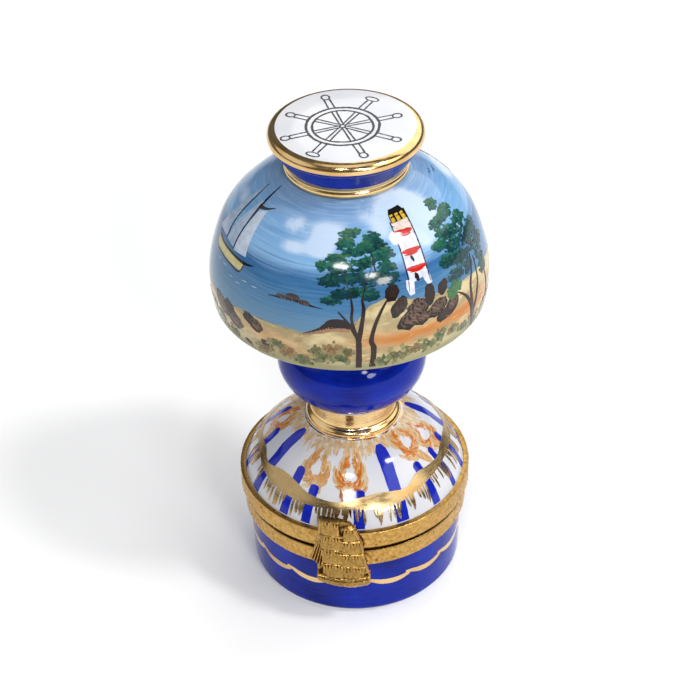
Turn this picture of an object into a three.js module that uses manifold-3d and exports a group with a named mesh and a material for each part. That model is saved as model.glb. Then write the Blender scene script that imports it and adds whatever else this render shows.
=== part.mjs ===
// Hinged porcelain trinket box in the form of an oil lamp, in millimetres, +Z up.
// The axis of the lamp is the Z axis, the foot stands on z = 0 and the clasp faces -Y.
import * as THREE from 'three';
import { mergeVertices } from 'three/addons/utils/BufferGeometryUtils.js';
import Module from 'manifold-3d';

const wasm = await Module();
wasm.setup();
const { Manifold, Mesh: SolidMesh } = wasm;

// ---- driving dimensions ----------------------------------------------------
const SEGMENTS = 40; // flats round every turned piece
const BOWL_SEGMENTS = 24; // fewer round the bowl, so that its foot stands on well spaced points
const GAP = 0.3; // clearance between pieces that touch on the real object
const WALL = 2.0; // porcelain wall

const BOWL = { footR: 19.6, sideR: 21.3, topR: 21.4, top: 17.6, innerR: 19.0, floor: 3.0 };
const FOOT = { innerR: 17.2, recess: 1.2, cornerR: 1.7 };
const LOWER_BEZEL = { outerR: 22.55, bottom: 14.2, top: 18.7, plate: 0.8, lipInnerR: 19.6 };
const LIP = { outerR: 20.1, top: 20.1 }; // low inner lip that centres the lid
const UPPER_BEZEL = { outerR: 23.2, bottom: 19.3, top: 23.2, plate: 0.8, innerR: 20.5 };
const BEVEL = 0.3;

const HINGE = { y: 24.6, z: 19.0, barrelR: 1.15, boreR: 0.75, pinR: 0.45 };
const KNUCKLE = { length: 2.6, count: 5, leafDrop: 3.6, leafBack: 0.55, sides: 20 };

const NECK = { beadR: 9.35, beadZ: 36.2, beadTube: 0.55, r: 8.25, ventR: 2.0 };
const GLOBE = { r: 14.54, halfHeight: 10.36, z: 49.87, mouthR: 3.2 };
const STEM = { r: 5.2, boreR: 3.2 };
const SHADE = { lipR: 24.85, lipZ: 66.0, lipTube: 0.95, crownR: 11.6, crownZ: 92.0 };
const CAP = {
  collarR: 11.3, boreR: 9.2, ceiling: 97.9,
  rimR: 12.78, rimZ: 99.18, rimTube: 1.4, crowning: 0.1,
};

const CLASP = { innerR: 23.5, bottom: 10.3, height: 18, backing: 0.75, sail: 0.75, hull: 1.2 };
const STUD = { z: 16.2, headR: 0.9, shankR: 0.5, headFront: 23.25, shankBack: 21.8 };

// ---- materials ---------------------------------------------------------------
function material(color, roughness, metalness) {
  return new THREE.MeshStandardMaterial({ color, roughness, metalness });
}
const WHITE_GLAZE = material(0xe6e8f0, 0.12, 0);
const COBALT_GLAZE = material(0x2634aa, 0.1, 0);
const PAINTED_GLAZE = material(0x86b4d2, 0.14, 0);
const BRASS = material(0xb88a32, 0.35, 1);

// ---- outlines, as [radius, height] pairs -------------------------------------
function arc(r, z, radius, fromDeg, toDeg, steps) {
  return Array.from({ length: steps + 1 }, (_, i) => {
    const a = THREE.MathUtils.degToRad(fromDeg + ((toDeg - fromDeg) * i) / steps);
    return [r + radius * Math.cos(a), z + radius * Math.sin(a)];
  });
}

// Points of an upright ellipse about the globe's centre, grown by an offset.
function globeArc(offset, fromR, toR, throughEquator, steps) {
  const a = GLOBE.r + offset;
  const b = GLOBE.halfHeight + offset;
  const start = -Math.acos(fromR / a);
  const end = throughEquator ? Math.acos(toR / a) : -Math.acos(toR / a);
  return Array.from({ length: steps + 1 }, (_, i) => {
    const t = start + ((end - start) * i) / steps;
    return [a * Math.cos(t), GLOBE.z + b * Math.sin(t)];
  });
}

// A smooth run through hand-placed points.
function smooth(points, steps) {
  const curve = new THREE.SplineCurve(points.map(([r, z]) => new THREE.Vector2(r, z)));
  return curve.getPoints(steps).map((p) => [p.x, p.y]);
}

// The same run moved inwards, square to itself, by a distance.
function inset(points, distance) {
  return points.map(([r, z], i) => {
    const [r0, z0] = points[Math.max(i - 1, 0)];
    const [r1, z1] = points[Math.min(i + 1, points.length - 1)];
    const length = Math.hypot(r1 - r0, z1 - z0);
    return [r - (distance * (z1 - z0)) / length, z + (distance * (r1 - r0)) / length];
  });
}

// ---- solids ------------------------------------------------------------------
// Turns an outline about Z. The outline starts and ends on the axis, or is closed as a ring.
function turn(points, segments = SEGMENTS) {
  const geometry = new THREE.LatheGeometry(points.map(([r, z]) => new THREE.Vector2(r, z)), segments);
  return geometry.rotateX(Math.PI / 2);
}

function turnRing(points, segments = SEGMENTS) {
  return turn([...points, points[0]], segments);
}

function toSolid(geometry) {
  const bare = geometry.clone();
  bare.deleteAttribute('normal');
  bare.deleteAttribute('uv');
  const merged = mergeVertices(bare, 1e-4);
  const vertProperties = new Float32Array(merged.attributes.position.array);
  const triVerts = new Uint32Array(merged.index.array);
  const mesh = new SolidMesh({ numProp: 3, vertProperties, triVerts });
  mesh.merge();
  return new Manifold(mesh);
}

function toGeometry(solid) {
  const mesh = solid.getMesh();
  const geometry = new THREE.BufferGeometry();
  geometry.setAttribute('position', new THREE.BufferAttribute(new Float32Array(mesh.vertProperties), 3));
  geometry.setIndex(new THREE.BufferAttribute(new Uint32Array(mesh.triVerts), 1));
  return geometry;
}

// A cylinder along X, for the hinge.
function rod(radius, length, sides) {
  return new THREE.CylinderGeometry(radius, radius, length, sides).rotateZ(Math.PI / 2);
}

// A tall prism that follows an outline in X and Z and runs through the front of the lamp along Y.
function frontPrism(outline) {
  const shape = new THREE.Shape(outline.map(([x, z]) => new THREE.Vector2(x, z)));
  const depth = 10;
  const back = -CLASP.innerR + 3.5;
  const geometry = new THREE.ExtrudeGeometry(shape, { depth, bevelEnabled: false });
  return geometry.rotateX(Math.PI / 2).translate(0, back, CLASP.bottom);
}

// ---- the box: bowl and lower bezel -----------------------------------------------
function bowlGeometry() {
  const wallRound = 0.5;
  const floorRound = 2.0;
  return turn([
    [0, FOOT.recess],
    [FOOT.innerR - 0.4, FOOT.recess],
    [FOOT.innerR, 0],
    ...arc(BOWL.footR, FOOT.cornerR, FOOT.cornerR, -90, 0, 4),
    [BOWL.topR, BOWL.top - wallRound],
    [BOWL.topR - wallRound, BOWL.top],
    [BOWL.innerR + wallRound, BOWL.top],
    [BOWL.innerR, BOWL.top - wallRound],
    ...arc(BOWL.innerR - floorRound, BOWL.floor + floorRound, floorRound, 0, -90, 4),
    [0, BOWL.floor],
  ], BOWL_SEGMENTS);
}

function lowerBezelGeometry() {
  const { outerR, bottom, top, plate, lipInnerR } = LOWER_BEZEL;
  const innerR = BOWL.topR + GAP;
  const ring = turnRing([
    [innerR, bottom],
    [outerR - BEVEL, bottom],
    [outerR, bottom + BEVEL],
    [outerR, top - BEVEL],
    [outerR - BEVEL, top],
    [LIP.outerR, top],
    [LIP.outerR, LIP.top],
    [lipInnerR, LIP.top],
    [lipInnerR, top - plate],
    [innerR, top - plate],
  ]);
  const holeR = STUD.shankR + GAP;
  const holeDepth = 4;
  const hole = new THREE.CylinderGeometry(holeR, holeR, holeDepth, KNUCKLE.sides);
  hole.translate(0, -outerR, STUD.z);
  return toGeometry(toSolid(ring).subtract(toSolid(hole)));
}

// A small rivet whose domed head the back of the clasp snaps over.
function catchStudGeometry() {
  const headBack = LOWER_BEZEL.outerR + 0.1;
  const outline = [
    [0, STUD.shankBack],
    [STUD.shankR, STUD.shankBack],
    [STUD.shankR, headBack],
    [STUD.headR, headBack],
    [STUD.headR * 0.9, headBack + 0.3],
    [STUD.headR * 0.55, STUD.headFront - 0.08],
    [0, STUD.headFront],
  ];
  return turn(outline, 16).rotateX(Math.PI / 2).translate(0, 0, STUD.z);
}

// ---- the hinge -----------------------------------------------------------------------
// side is -1 for a leaf that hangs down to the lower bezel and +1 for one that rises to the upper one.
function knuckleGeometry(x, side, bezelR) {
  const { length, leafDrop, leafBack, sides } = KNUCKLE;
  const leafDepth = HINGE.barrelR + 4;
  const atHinge = (geometry) => toSolid(geometry.translate(x, HINGE.y, HINGE.z));
  const leafBox = new THREE.BoxGeometry(length, leafDepth, leafDrop);
  const leaf = atHinge(leafBox.translate(0, leafBack - leafDepth / 2, (side * leafDrop) / 2));
  const barrel = atHinge(rod(HINGE.barrelR, length, sides));
  const bore = atHinge(rod(HINGE.boreR, length * 2, sides));
  const clearR = bezelR + GAP;
  const bezel = toSolid(new THREE.CylinderGeometry(clearR, clearR, 60, SEGMENTS * 2).rotateX(Math.PI / 2));
  return toGeometry(leaf.add(barrel).subtract(bore).subtract(bezel));
}

function hingePinGeometry() {
  const length = KNUCKLE.count * (KNUCKLE.length + GAP) + 0.2;
  return rod(HINGE.pinR, length, 16).translate(0, HINGE.y, HINGE.z);
}

// ---- the lid: upper bezel, shoulder, globe, stem, shade and cap -------------------------
function upperBezelGeometry() {
  const { outerR, bottom, top, plate, innerR } = UPPER_BEZEL;
  const wallInnerR = outerR - plate - 0.05;
  return turnRing([
    [innerR, bottom],
    [outerR - BEVEL, bottom],
    [outerR, bottom + BEVEL],
    [outerR, top - BEVEL],
    [outerR - BEVEL, top],
    [wallInnerR, top],
    [wallInnerR, bottom + plate],
    [innerR, bottom + plate],
  ]);
}

function shoulderGeometry() {
  const edgeZ = UPPER_BEZEL.bottom + UPPER_BEZEL.plate + GAP;
  const edgeR = 22.05;
  const slope = smooth([[edgeR, 23.1], [20.35, 26.5], [17.45, 29.6], [14.4, 32.7], [9.5, 35.6]], 7);
  const inside = inset(slope, WALL).reverse().slice(1);
  return turnRing([
    [edgeR, edgeZ],
    ...slope,
    ...arc(NECK.beadR - NECK.beadTube, NECK.beadZ, NECK.beadTube, -60, 110, 3),
    [NECK.r, NECK.beadZ + 1.4],
    ...globeArc(GAP, NECK.r, NECK.ventR, false, 2),
    [NECK.ventR, 33.8],
    [8.0, 33.6],
    ...inside,
    [edgeR - WALL, edgeZ],
  ]);
}

function fontGlobeGeometry() {
  const outside = globeArc(0, NECK.ventR, GLOBE.mouthR, true, 14);
  const inside = globeArc(-WALL, NECK.ventR, GLOBE.mouthR, true, 8).reverse();
  return turnRing([...outside, ...inside]);
}

function chimneyStemGeometry() {
  const top = SHADE.crownZ - WALL - GAP;
  const seat = (r) => {
    const [, below] = globeArc(GAP, r, r, false, 1)[0];
    return [r, 2 * GLOBE.z - below];
  };
  const middleR = (STEM.boreR + STEM.r) / 2;
  return turnRing([
    seat(STEM.boreR),
    seat(middleR),
    seat(STEM.r),
    [STEM.r, top],
    [STEM.boreR, top],
  ]);
}

function lampShadeGeometry() {
  const { lipR, lipZ, lipTube, crownR, crownZ } = SHADE;
  const wall = smooth(
    [
      [lipR + lipTube, lipZ], [26.33, 71.34], [25.14, 77.34],
      [22.56, 83.34], [17.66, 88.34], [crownR, crownZ],
    ],
    11,
  );
  const inside = inset(wall, 2 * lipTube).slice(1, -2).reverse();
  const outside = wall.slice(1);
  return turn([
    [0, crownZ - WALL],
    [STEM.r + 4, crownZ - WALL],
    ...inside,
    ...arc(lipR, lipZ, lipTube, -180, 0, 4),
    ...outside,
    [0, crownZ],
  ]);
}

function chimneyCapGeometry() {
  const { collarR, boreR, ceiling, rimR, rimZ, rimTube } = CAP;
  const bottom = SHADE.crownZ + GAP;
  return turn([
    [0, ceiling],
    [boreR + 1.2, ceiling - 0.6],
    [boreR + 1.2, ceiling - 1.6],
    [boreR, bottom + 1.8],
    [boreR, bottom],
    [collarR - 0.2, bottom],
    [collarR, bottom + 0.4],
    [collarR, bottom + 1.1],
    [collarR - 0.2, bottom + 1.5],
    [11.45, 94.4],
    [12.1, 95.6],
    ...arc(rimR, rimZ, rimTube, -60, 90, 5),
    [0, rimZ + rimTube + CAP.crowning],
  ]);
}

// ---- the clasp: a cast sailing ship ---------------------------------------------------------
// Outlines are [across, up from the keel], seen from the front.
const SHIP_BACKING = [
  [-4.4, 1.2], [-2.4, 0.7], [0.6, 0.1], [4.4, 0.0], [6.0, 0.9], [5.9, 2.6], [5.0, 5.4], [4.2, 9.0],
  [4.2, 12.4], [2.6, 13.1], [2.5, 15.2], [1.0, 17.0],
  [-0.5, 16.3], [-2.4, 17.6], [-4.0, 16.2], [-4.3, 12.2],
  [-5.4, 9.4], [-6.7, 5.9], [-5.4, 5.1], [-4.1, 4.4], [-5.1, 3.3], [-5.2, 2.3],
];
const SHIP_HULL = [
  [-4.6, 1.3], [-2.4, 0.95], [0.6, 0.35], [4.3, 0.3],
  [5.6, 1.1], [5.0, 2.7], [0.6, 2.9], [-4.8, 3.3],
];
const MASTS = [
  { x: -2.0, bottom: 4.6, top: 16.6, halfWidths: [2.1, 1.95, 1.8, 1.55] },
  { x: 1.9, bottom: 4.2, top: 15.4, halfWidths: [2.0, 1.9, 1.5, 0.9] },
];

function sailOutlines() {
  const space = 0.35;
  return MASTS.flatMap(({ x, bottom, top, halfWidths }) => {
    const pitch = (top - bottom) / halfWidths.length;
    return halfWidths.map((half, i) => {
      const low = bottom + i * pitch;
      const high = low + pitch - space;
      const middle = (low + high) / 2;
      return [[x - half, low], [x + half, low], [x + half * 0.82, middle], [x + half * 0.9, high],
        [x - half * 0.9, high], [x - half * 0.82, middle]];
    });
  });
}

// The part of a cylinder shell, behind the given outline, that is bent round the bezel.
function bentPlate(outline, innerR, thickness) {
  const overlap = 1;
  const low = CLASP.bottom - overlap;
  const high = CLASP.bottom + CLASP.height + overlap;
  const outerR = innerR + thickness;
  const shell = turnRing([[innerR, low], [outerR, low], [outerR, high], [innerR, high]], SEGMENTS * 2);
  return toSolid(shell).intersect(toSolid(frontPrism(outline)));
}

function shipClaspGeometry() {
  const { innerR, backing, sail, hull } = CLASP;
  let ship = bentPlate(SHIP_BACKING, innerR, backing);
  ship = ship.add(bentPlate(SHIP_HULL, innerR, backing + hull));
  for (const outline of sailOutlines()) {
    ship = ship.add(bentPlate(outline, innerR, backing + sail));
  }
  return toGeometry(ship);
}

// ---- assembly ----------------------------------------------------------------------------------
function piece(name, geometry, look) {
  const mesh = new THREE.Mesh(geometry, look.clone());
  mesh.name = name;
  return mesh;
}

function knuckleX(index) {
  return (index - (KNUCKLE.count - 1) / 2) * (KNUCKLE.length + GAP);
}

const boxBase = new THREE.Group();
boxBase.add(piece('bowl', bowlGeometry(), COBALT_GLAZE));
boxBase.add(piece('lower_bezel', lowerBezelGeometry(), BRASS));
boxBase.add(piece('catch_stud', catchStudGeometry(), BRASS));
['left', 'middle', 'right'].forEach((side, i) => {
  const geometry = knuckleGeometry(knuckleX(2 * i), -1, LOWER_BEZEL.outerR);
  boxBase.add(piece(`base_knuckle_${side}`, geometry, BRASS));
});
boxBase.add(piece('hinge_pin', hingePinGeometry(), BRASS));

const lid = new THREE.Group();
lid.add(piece('upper_bezel', upperBezelGeometry(), BRASS));
['left', 'right'].forEach((side, i) => {
  const geometry = knuckleGeometry(knuckleX(2 * i + 1), 1, UPPER_BEZEL.outerR);
  lid.add(piece(`lid_knuckle_${side}`, geometry, BRASS));
});
lid.add(piece('lid_shoulder', shoulderGeometry(), WHITE_GLAZE));
lid.add(piece('font_globe', fontGlobeGeometry(), COBALT_GLAZE));
lid.add(piece('chimney_stem', chimneyStemGeometry(), WHITE_GLAZE));
lid.add(piece('lamp_shade', lampShadeGeometry(), PAINTED_GLAZE));
lid.add(piece('chimney_cap', chimneyCapGeometry(), WHITE_GLAZE));
lid.add(piece('ship_clasp', shipClaspGeometry(), BRASS));

const lampBox = new THREE.Group();
lampBox.add(boxBase, lid);

export default lampBox;
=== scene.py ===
"""The looks of a hinged porcelain trinket box in the form of an oil lamp.

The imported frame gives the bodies, the joint and the sizes. Every visible piece is built here in
mesh code round the same axis, in millimetres, and turned into metres when its mesh is made.
Angles go round the lamp in degrees from the clasp at the front (-Y) towards +X.
"""
import math
import random

import bpy
import numpy as np
from mathutils import Matrix, Vector


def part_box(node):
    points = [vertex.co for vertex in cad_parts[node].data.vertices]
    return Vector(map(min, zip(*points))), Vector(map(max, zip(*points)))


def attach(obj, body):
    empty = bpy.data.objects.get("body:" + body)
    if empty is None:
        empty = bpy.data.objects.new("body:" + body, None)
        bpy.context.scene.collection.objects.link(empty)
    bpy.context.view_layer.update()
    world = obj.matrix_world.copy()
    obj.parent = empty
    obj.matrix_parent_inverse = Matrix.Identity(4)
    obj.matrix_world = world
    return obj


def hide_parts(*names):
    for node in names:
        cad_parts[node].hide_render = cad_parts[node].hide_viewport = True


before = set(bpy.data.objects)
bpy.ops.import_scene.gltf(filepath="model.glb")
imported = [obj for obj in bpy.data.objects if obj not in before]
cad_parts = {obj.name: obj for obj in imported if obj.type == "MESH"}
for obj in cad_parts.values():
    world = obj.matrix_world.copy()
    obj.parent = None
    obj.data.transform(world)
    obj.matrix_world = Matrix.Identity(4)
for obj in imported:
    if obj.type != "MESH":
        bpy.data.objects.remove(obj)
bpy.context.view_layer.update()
MM = 0.001
random.seed(7)

# ---- sizes in millimetres, most of them taken from the frame ----


def low(node):
    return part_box(node)[0].z / MM


def top(node):
    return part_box(node)[1].z / MM


def reach(node):
    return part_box(node)[1].x / MM


WALL = 2.0
BOWL_TOP = top("bowl")
BOWL_R = reach("bowl")
FOOT_R = BOWL_R - 1.8
LOWER_RIM = {"r": reach("lower_bezel"), "low": low("lower_bezel"), "lip": top("lower_bezel")}
UPPER_RIM = {"r": reach("upper_bezel"), "low": low("upper_bezel"), "top": top("upper_bezel")}
LOWER_RIM_TOP = UPPER_RIM["low"] - 0.6
SHOULDER_R = reach("lid_shoulder")
GLOBE_R = reach("font_globe")
GLOBE_HALF = 10.36  # half the height of the globe, if it were whole
GLOBE_Z = 49.87  # its middle
STEM_R = reach("chimney_stem")
CROWN_Z = top("lamp_shade")
CAP_TOP = top("chimney_cap")
CAP_TUBE = 1.4
CAP_RIM_R = reach("chimney_cap") - CAP_TUBE
CAP_RIM_Z = CAP_TOP - 0.1 - CAP_TUBE
AROUND = 192  # flats round a turned piece
RIM_AROUND = 720  # flats round a chased rim

# ---- outlines, as (radius, height) points ----


def arc(r, z, radius, start, stop, steps=8):
    angles = np.radians(np.linspace(start, stop, steps + 1))
    return [(r + radius * math.cos(a), z + radius * math.sin(a)) for a in angles]


def smooth(points, steps):
    """A Catmull-Rom run through the points."""
    p = np.array(points, float)
    last = len(p) - 1
    out = []
    for t in np.linspace(0, last, steps + 1):
        k = min(int(t), last - 1)
        w = t - k
        p0, p1, p2, p3 = p[max(k - 1, 0)], p[k], p[k + 1], p[min(k + 2, last)]
        v0 = (p2 - p0) / 2
        v1 = (p3 - p1) / 2
        cubic = 2 * p1 - 2 * p2 + v0 + v1
        square = 3 * p2 - 3 * p1 - 2 * v0 - v1
        out.append(cubic * w**3 + square * w**2 + v0 * w + p1)
    return [tuple(q) for q in out]


def through(run, steps):
    """Points along a run: curved through three or more, straight between two."""
    return np.array(smooth(run, steps)) if len(run) > 2 else np.linspace(run[0], run[1], steps + 1)


def shifted(run, turn=0.0, fall=0.0):
    """A run of (angle, height) points turned round the lamp and lowered."""
    return [(a + turn, z - fall) for a, z in run]


def inset(points, distance):
    """The same run moved inwards, square to itself."""
    p = np.array(points, float)
    step = np.gradient(p, axis=0)
    length = np.hypot(step[:, 0], step[:, 1])
    inwards = np.stack([-step[:, 1], step[:, 0]], 1) / length[:, None]
    return [tuple(q) for q in p + distance * inwards]


SHADE_WALL = smooth([(25.7, 66.0), (26.21, 71.34), (25.04, 77.34), (22.5, 83.34), (17.64, 88.34),
                     (11.6, CROWN_Z)], 60)
SHOULDER_WALL = smooth([(SHOULDER_R, 23.1), (20.35, 26.5), (17.45, 29.6), (14.4, 32.7), (9.5, 35.6)], 40)
BOWL_WALL = [(BOWL_R, 1.9), (BOWL_R, BOWL_TOP)]
NECK_WALL = smooth([(9.2, 35.62), (9.38, 36.2), (9.0, 36.75), (8.4, 37.2), (8.22, 38.2), (8.3, 41.0)], 30)
CAP_COLLAR = smooth([(11.0, 92.1), (11.4, 92.6), (11.42, 93.2), (11.2, 93.7), (11.35, 94.35)], 20)
CAP_FLARE = smooth([(11.35, 94.35), (12.15, 95.7), (13.48, 97.97)], 16)
CAP_UNDER = arc(CAP_RIM_R, CAP_RIM_Z, CAP_TUBE, -60, -22, 5)
CAP_EDGE = arc(CAP_RIM_R, CAP_RIM_Z, CAP_TUBE, -22, 82, 16)
DISC_Z = CAP_TOP - 0.05


# ---- meshes ----


def make_piece(name, points, faces, body, materials, face_slots=None, sharp=35):
    """A piece from points in millimetres, riding on a body."""
    mesh = bpy.data.meshes.new(name)
    mesh.from_pydata([tuple(p) for p in np.asarray(points) * MM], [], [tuple(f) for f in faces])
    for material in materials:
        mesh.materials.append(material)
    if face_slots is not None:
        mesh.polygons.foreach_set("material_index", np.asarray(face_slots, np.int32))
    mesh.validate()
    mesh.shade_smooth()
    mesh.set_sharp_from_angle(angle=math.radians(sharp))
    piece = bpy.data.objects.new(name, mesh)
    bpy.context.scene.collection.objects.link(piece)
    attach(piece, body)
    return piece


def mark(piece, name, values):
    """One number for each point of a piece, which its material reads by name."""
    layer = piece.data.attributes.new(name, "FLOAT", "POINT")
    layer.data.foreach_set("value", np.asarray(values, np.float32))


def turned(outline, around=AROUND, ring=False, shape=None):
    """Points and faces of an outline turned about the axis, and the outline step of each face.

    An outline that isn't a ring starts and ends on the axis. shape(grid) may move the points first.
    """
    rz = np.array(outline, float)
    on_axis = [] if ring else [0, len(rz) - 1]
    rows = [i for i in range(len(rz)) if i not in on_axis]
    angles = np.linspace(0, 2 * math.pi, around, endpoint=False)
    grid = np.stack([np.outer(rz[rows, 0], np.sin(angles)), -np.outer(rz[rows, 0], np.cos(angles)),
                     np.repeat(rz[rows, 1][:, None], around, 1)], -1)
    if shape is not None:
        grid = shape(grid)
    points = list(grid.reshape(-1, 3))
    faces, steps = [], []
    pairs = list(zip(range(len(rows)), range(1, len(rows))))
    if ring:
        pairs.append((len(rows) - 1, 0))
    for a, b in pairs:
        for j in range(around):
            k = (j + 1) % around
            faces.append((a * around + j, a * around + k, b * around + k, b * around + j))
            steps.append(a)
    for end, row in zip(on_axis, (0, len(rows) - 1)):
        centre = len(points)
        points.append((0.0, 0.0, rz[end, 1]))
        for j in range(around):
            k = (j + 1) % around
            face = (centre, row * around + k, row * around + j)
            faces.append(face if end == 0 else face[::-1])
            steps.append(end - (end > 0))
    return points, faces, steps


class Turned:
    """A turned surface that paint lies on, reached by angle and by length along its outline."""

    def __init__(self, outline):
        self.r, self.z = np.array(outline, float).T
        self.s = np.concatenate([[0], np.cumsum(np.hypot(np.diff(self.r), np.diff(self.z)))])
        self.length = self.s[-1]

    def along(self, z):
        return np.interp(z, self.z, self.s)

    def radius(self, s):
        return np.interp(s, self.s, self.r)

    def place(self, angle, s, lift):
        e = 0.1
        s = np.clip(s, 0, self.length)
        r, z = self.radius(s), np.interp(s, self.s, self.z)
        dr = np.interp(s + e, self.s, self.r) - np.interp(s - e, self.s, self.r)
        dz = np.interp(s + e, self.s, self.z) - np.interp(s - e, self.s, self.z)
        length = np.hypot(dr, dz)
        a = np.radians(angle)
        out = r + lift * dz / length
        return np.stack([out * np.sin(a), -out * np.cos(a), z - lift * dr / length + 0 * out], -1)

    def offset(self, angle, s, right, up):
        """The place that lies some millimetres to the right and up the surface."""
        return angle + np.degrees(right / self.radius(s)), s + up


class Flat:
    """A flat disc facing up, reached by x and y."""

    def __init__(self, z):
        self.z = z

    def along(self, y):
        return y

    def place(self, x, y, lift):
        return np.stack([x + 0 * y, y + 0 * x, self.z + lift + 0 * x], -1)

    def offset(self, x, y, right, up):
        return x + right, y + up


class Paint:
    """Strokes on one surface, each a thin closed sheet, joined into one piece.

    rise lifts every stroke a little over the one before, so that later strokes cover earlier ones.
    After some hundreds of strokes the lift starts again from its first value.
    """
    STROKES_IN_A_LIFT = 400
    DIP = 0.03  # how far the back of a stroke lies under the surface

    def __init__(self, surface, lift=0.02, rise=0.0006):
        self.surface = surface
        self.lift = lift
        self.rise = rise
        self.points, self.faces, self.tints = [], [], []
        self.count = 0

    def sheet(self, u, v, lift, tint, wrap=False):
        """A grid of places, made into a closed sheet that dips under the surface at its back."""
        u, v = np.broadcast_arrays(np.asarray(u, float), np.asarray(v, float))
        rows, cols = u.shape
        height = self.lift + (self.count % self.STROKES_IN_A_LIFT) * self.rise
        self.count += 1
        upper = self.surface.place(u, v, lift + height)
        lower = self.surface.place(u, v, -self.DIP + 0 * u)
        start = len(self.points)
        self.points.extend(upper.reshape(-1, 3))
        self.points.extend(lower.reshape(-1, 3))
        tint = np.broadcast_to(np.asarray(tint, float), (rows, cols, 3)).reshape(-1, 3)
        self.tints.extend(tint)
        self.tints.extend(tint)
        under = rows * cols

        def at(i, j):
            return start + i * cols + (j % cols)

        spans = cols if wrap else cols - 1
        for i in range(rows - 1):
            for j in range(spans):
                quad = (at(i, j), at(i, j + 1), at(i + 1, j + 1), at(i + 1, j))
                self.faces.append(quad)
                self.faces.append(tuple(q + under for q in quad[::-1]))
        for j in range(spans):
            self.faces.append((at(0, j) + under, at(0, j + 1) + under, at(0, j + 1), at(0, j)))
            self.faces.append((at(rows - 1, j), at(rows - 1, j + 1), at(rows - 1, j + 1) + under,
                               at(rows - 1, j) + under))
        if wrap:
            return
        for i in range(rows - 1):
            self.faces.append((at(i, 0), at(i + 1, 0), at(i + 1, 0) + under, at(i, 0) + under))
            self.faces.append((at(i, cols - 1) + under, at(i + 1, cols - 1) + under, at(i + 1, cols - 1),
                               at(i, cols - 1)))

    def on_surface(self, run):
        """A run of (angle, height) points as (angle, length along the outline) points."""
        return [(a, float(self.surface.along(z))) for a, z in run]

    def stroke(self, path, widths, tint, swell=0.0, steps=None, wobble=0.0):
        """A ribbon through (angle, height) points, with its width in mm given at even steps."""
        steps = steps or max(6, 4 * (len(path) - 1))
        line = through(self.on_surface(path), steps)
        at = np.linspace(0, 1, steps + 1)
        width = np.interp(at, np.linspace(0, 1, len(widths)), widths)
        if wobble:
            width = width * (1 + np.array([random.uniform(-wobble, wobble) for _ in at]))
        right, up = self.millimetres(line)
        length = np.hypot(right, up) + 1e-9
        cols = 3 if max(widths) < 1.2 else 5
        across = np.linspace(1, -1, cols)[None, :]
        side_right = (-up / length * width / 2)[:, None] * across
        side_up = (right / length * width / 2)[:, None] * across
        u, v = self.surface.offset(line[:, :1], line[:, 1:], side_right, side_up)
        self.sheet(u, v, swell * (1 - across**2), tint)

    def millimetres(self, line):
        """Steps of a line of places, as millimetres to the right and up."""
        step = np.gradient(line, axis=0)
        if isinstance(self.surface, Flat):
            return step[:, 0], step[:, 1]
        return np.radians(step[:, 0]) * self.surface.radius(line[:, 1]), step[:, 1]

    def patch(self, left, right, tint, steps=10, cols=6):
        """A patch between two edges, each a run of (angle, height) points from bottom to top."""
        edges = [through(self.on_surface(edge), steps) for edge in (left, right)]
        across = np.linspace(0, 1, cols)[None, :]
        u = edges[0][:, :1] * (1 - across) + edges[1][:, :1] * across
        v = edges[0][:, 1:] * (1 - across) + edges[1][:, 1:] * across
        self.sheet(u, v, 0.0 * u, tint)

    def dab(self, angle, z, rx, ry, tint, turn=0.0, tint_low=None, wobble=0.12, sides=12):
        """A rounded brush dab of half-widths rx and ry in mm, turned by some degrees."""
        s = float(self.surface.along(z))
        around = np.linspace(0, 2 * math.pi, sides, endpoint=False)
        shape = 1 + np.array([random.uniform(-wobble, wobble) for _ in around])
        rings = np.array([0.001, 0.55, 1.0])[:, None]
        x = rings * np.cos(around) * rx * shape
        y = rings * np.sin(around) * ry * shape
        t = math.radians(turn)
        right, up = x * math.cos(t) - y * math.sin(t), x * math.sin(t) + y * math.cos(t)
        u, v = self.surface.offset(angle, s, right, up)
        tint = np.asarray(tint, float)
        if tint_low is not None:
            share = np.clip(0.5 + up / (2 * max(rx, ry)), 0, 1)[..., None]
            tint = share * tint + (1 - share) * np.asarray(tint_low, float)
        self.sheet(u[::-1], v[::-1], 0.0 * u, tint[::-1] if tint.ndim == 3 else tint, wrap=True)

    def piece(self, name, body, slot, material):
        piece = make_piece(name, self.points, self.faces, body, [material])
        colours = np.ones((len(self.tints), 4), np.float32)
        colours[:, :3] = np.asarray(self.tints, np.float32)
        layer = piece.data.color_attributes.new("tint", "FLOAT_COLOR", "POINT")
        layer.data.foreach_set("color", colours.ravel())
        return piece


def rgb(r, g, b):
    """A colour given as a screen colour of 0 to 255, as the linear values that shaders use."""
    return tuple((c / 255 / 12.92) if c <= 10 else ((c / 255 + 0.055) / 1.055) ** 2.4 for c in (r, g, b))


def vary(tint, amount):
    """A tint a little lighter or darker at random."""
    k = 1 + random.uniform(-amount, amount)
    return tuple(min(1.0, c * k) for c in tint)


# ---- materials ----


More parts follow.
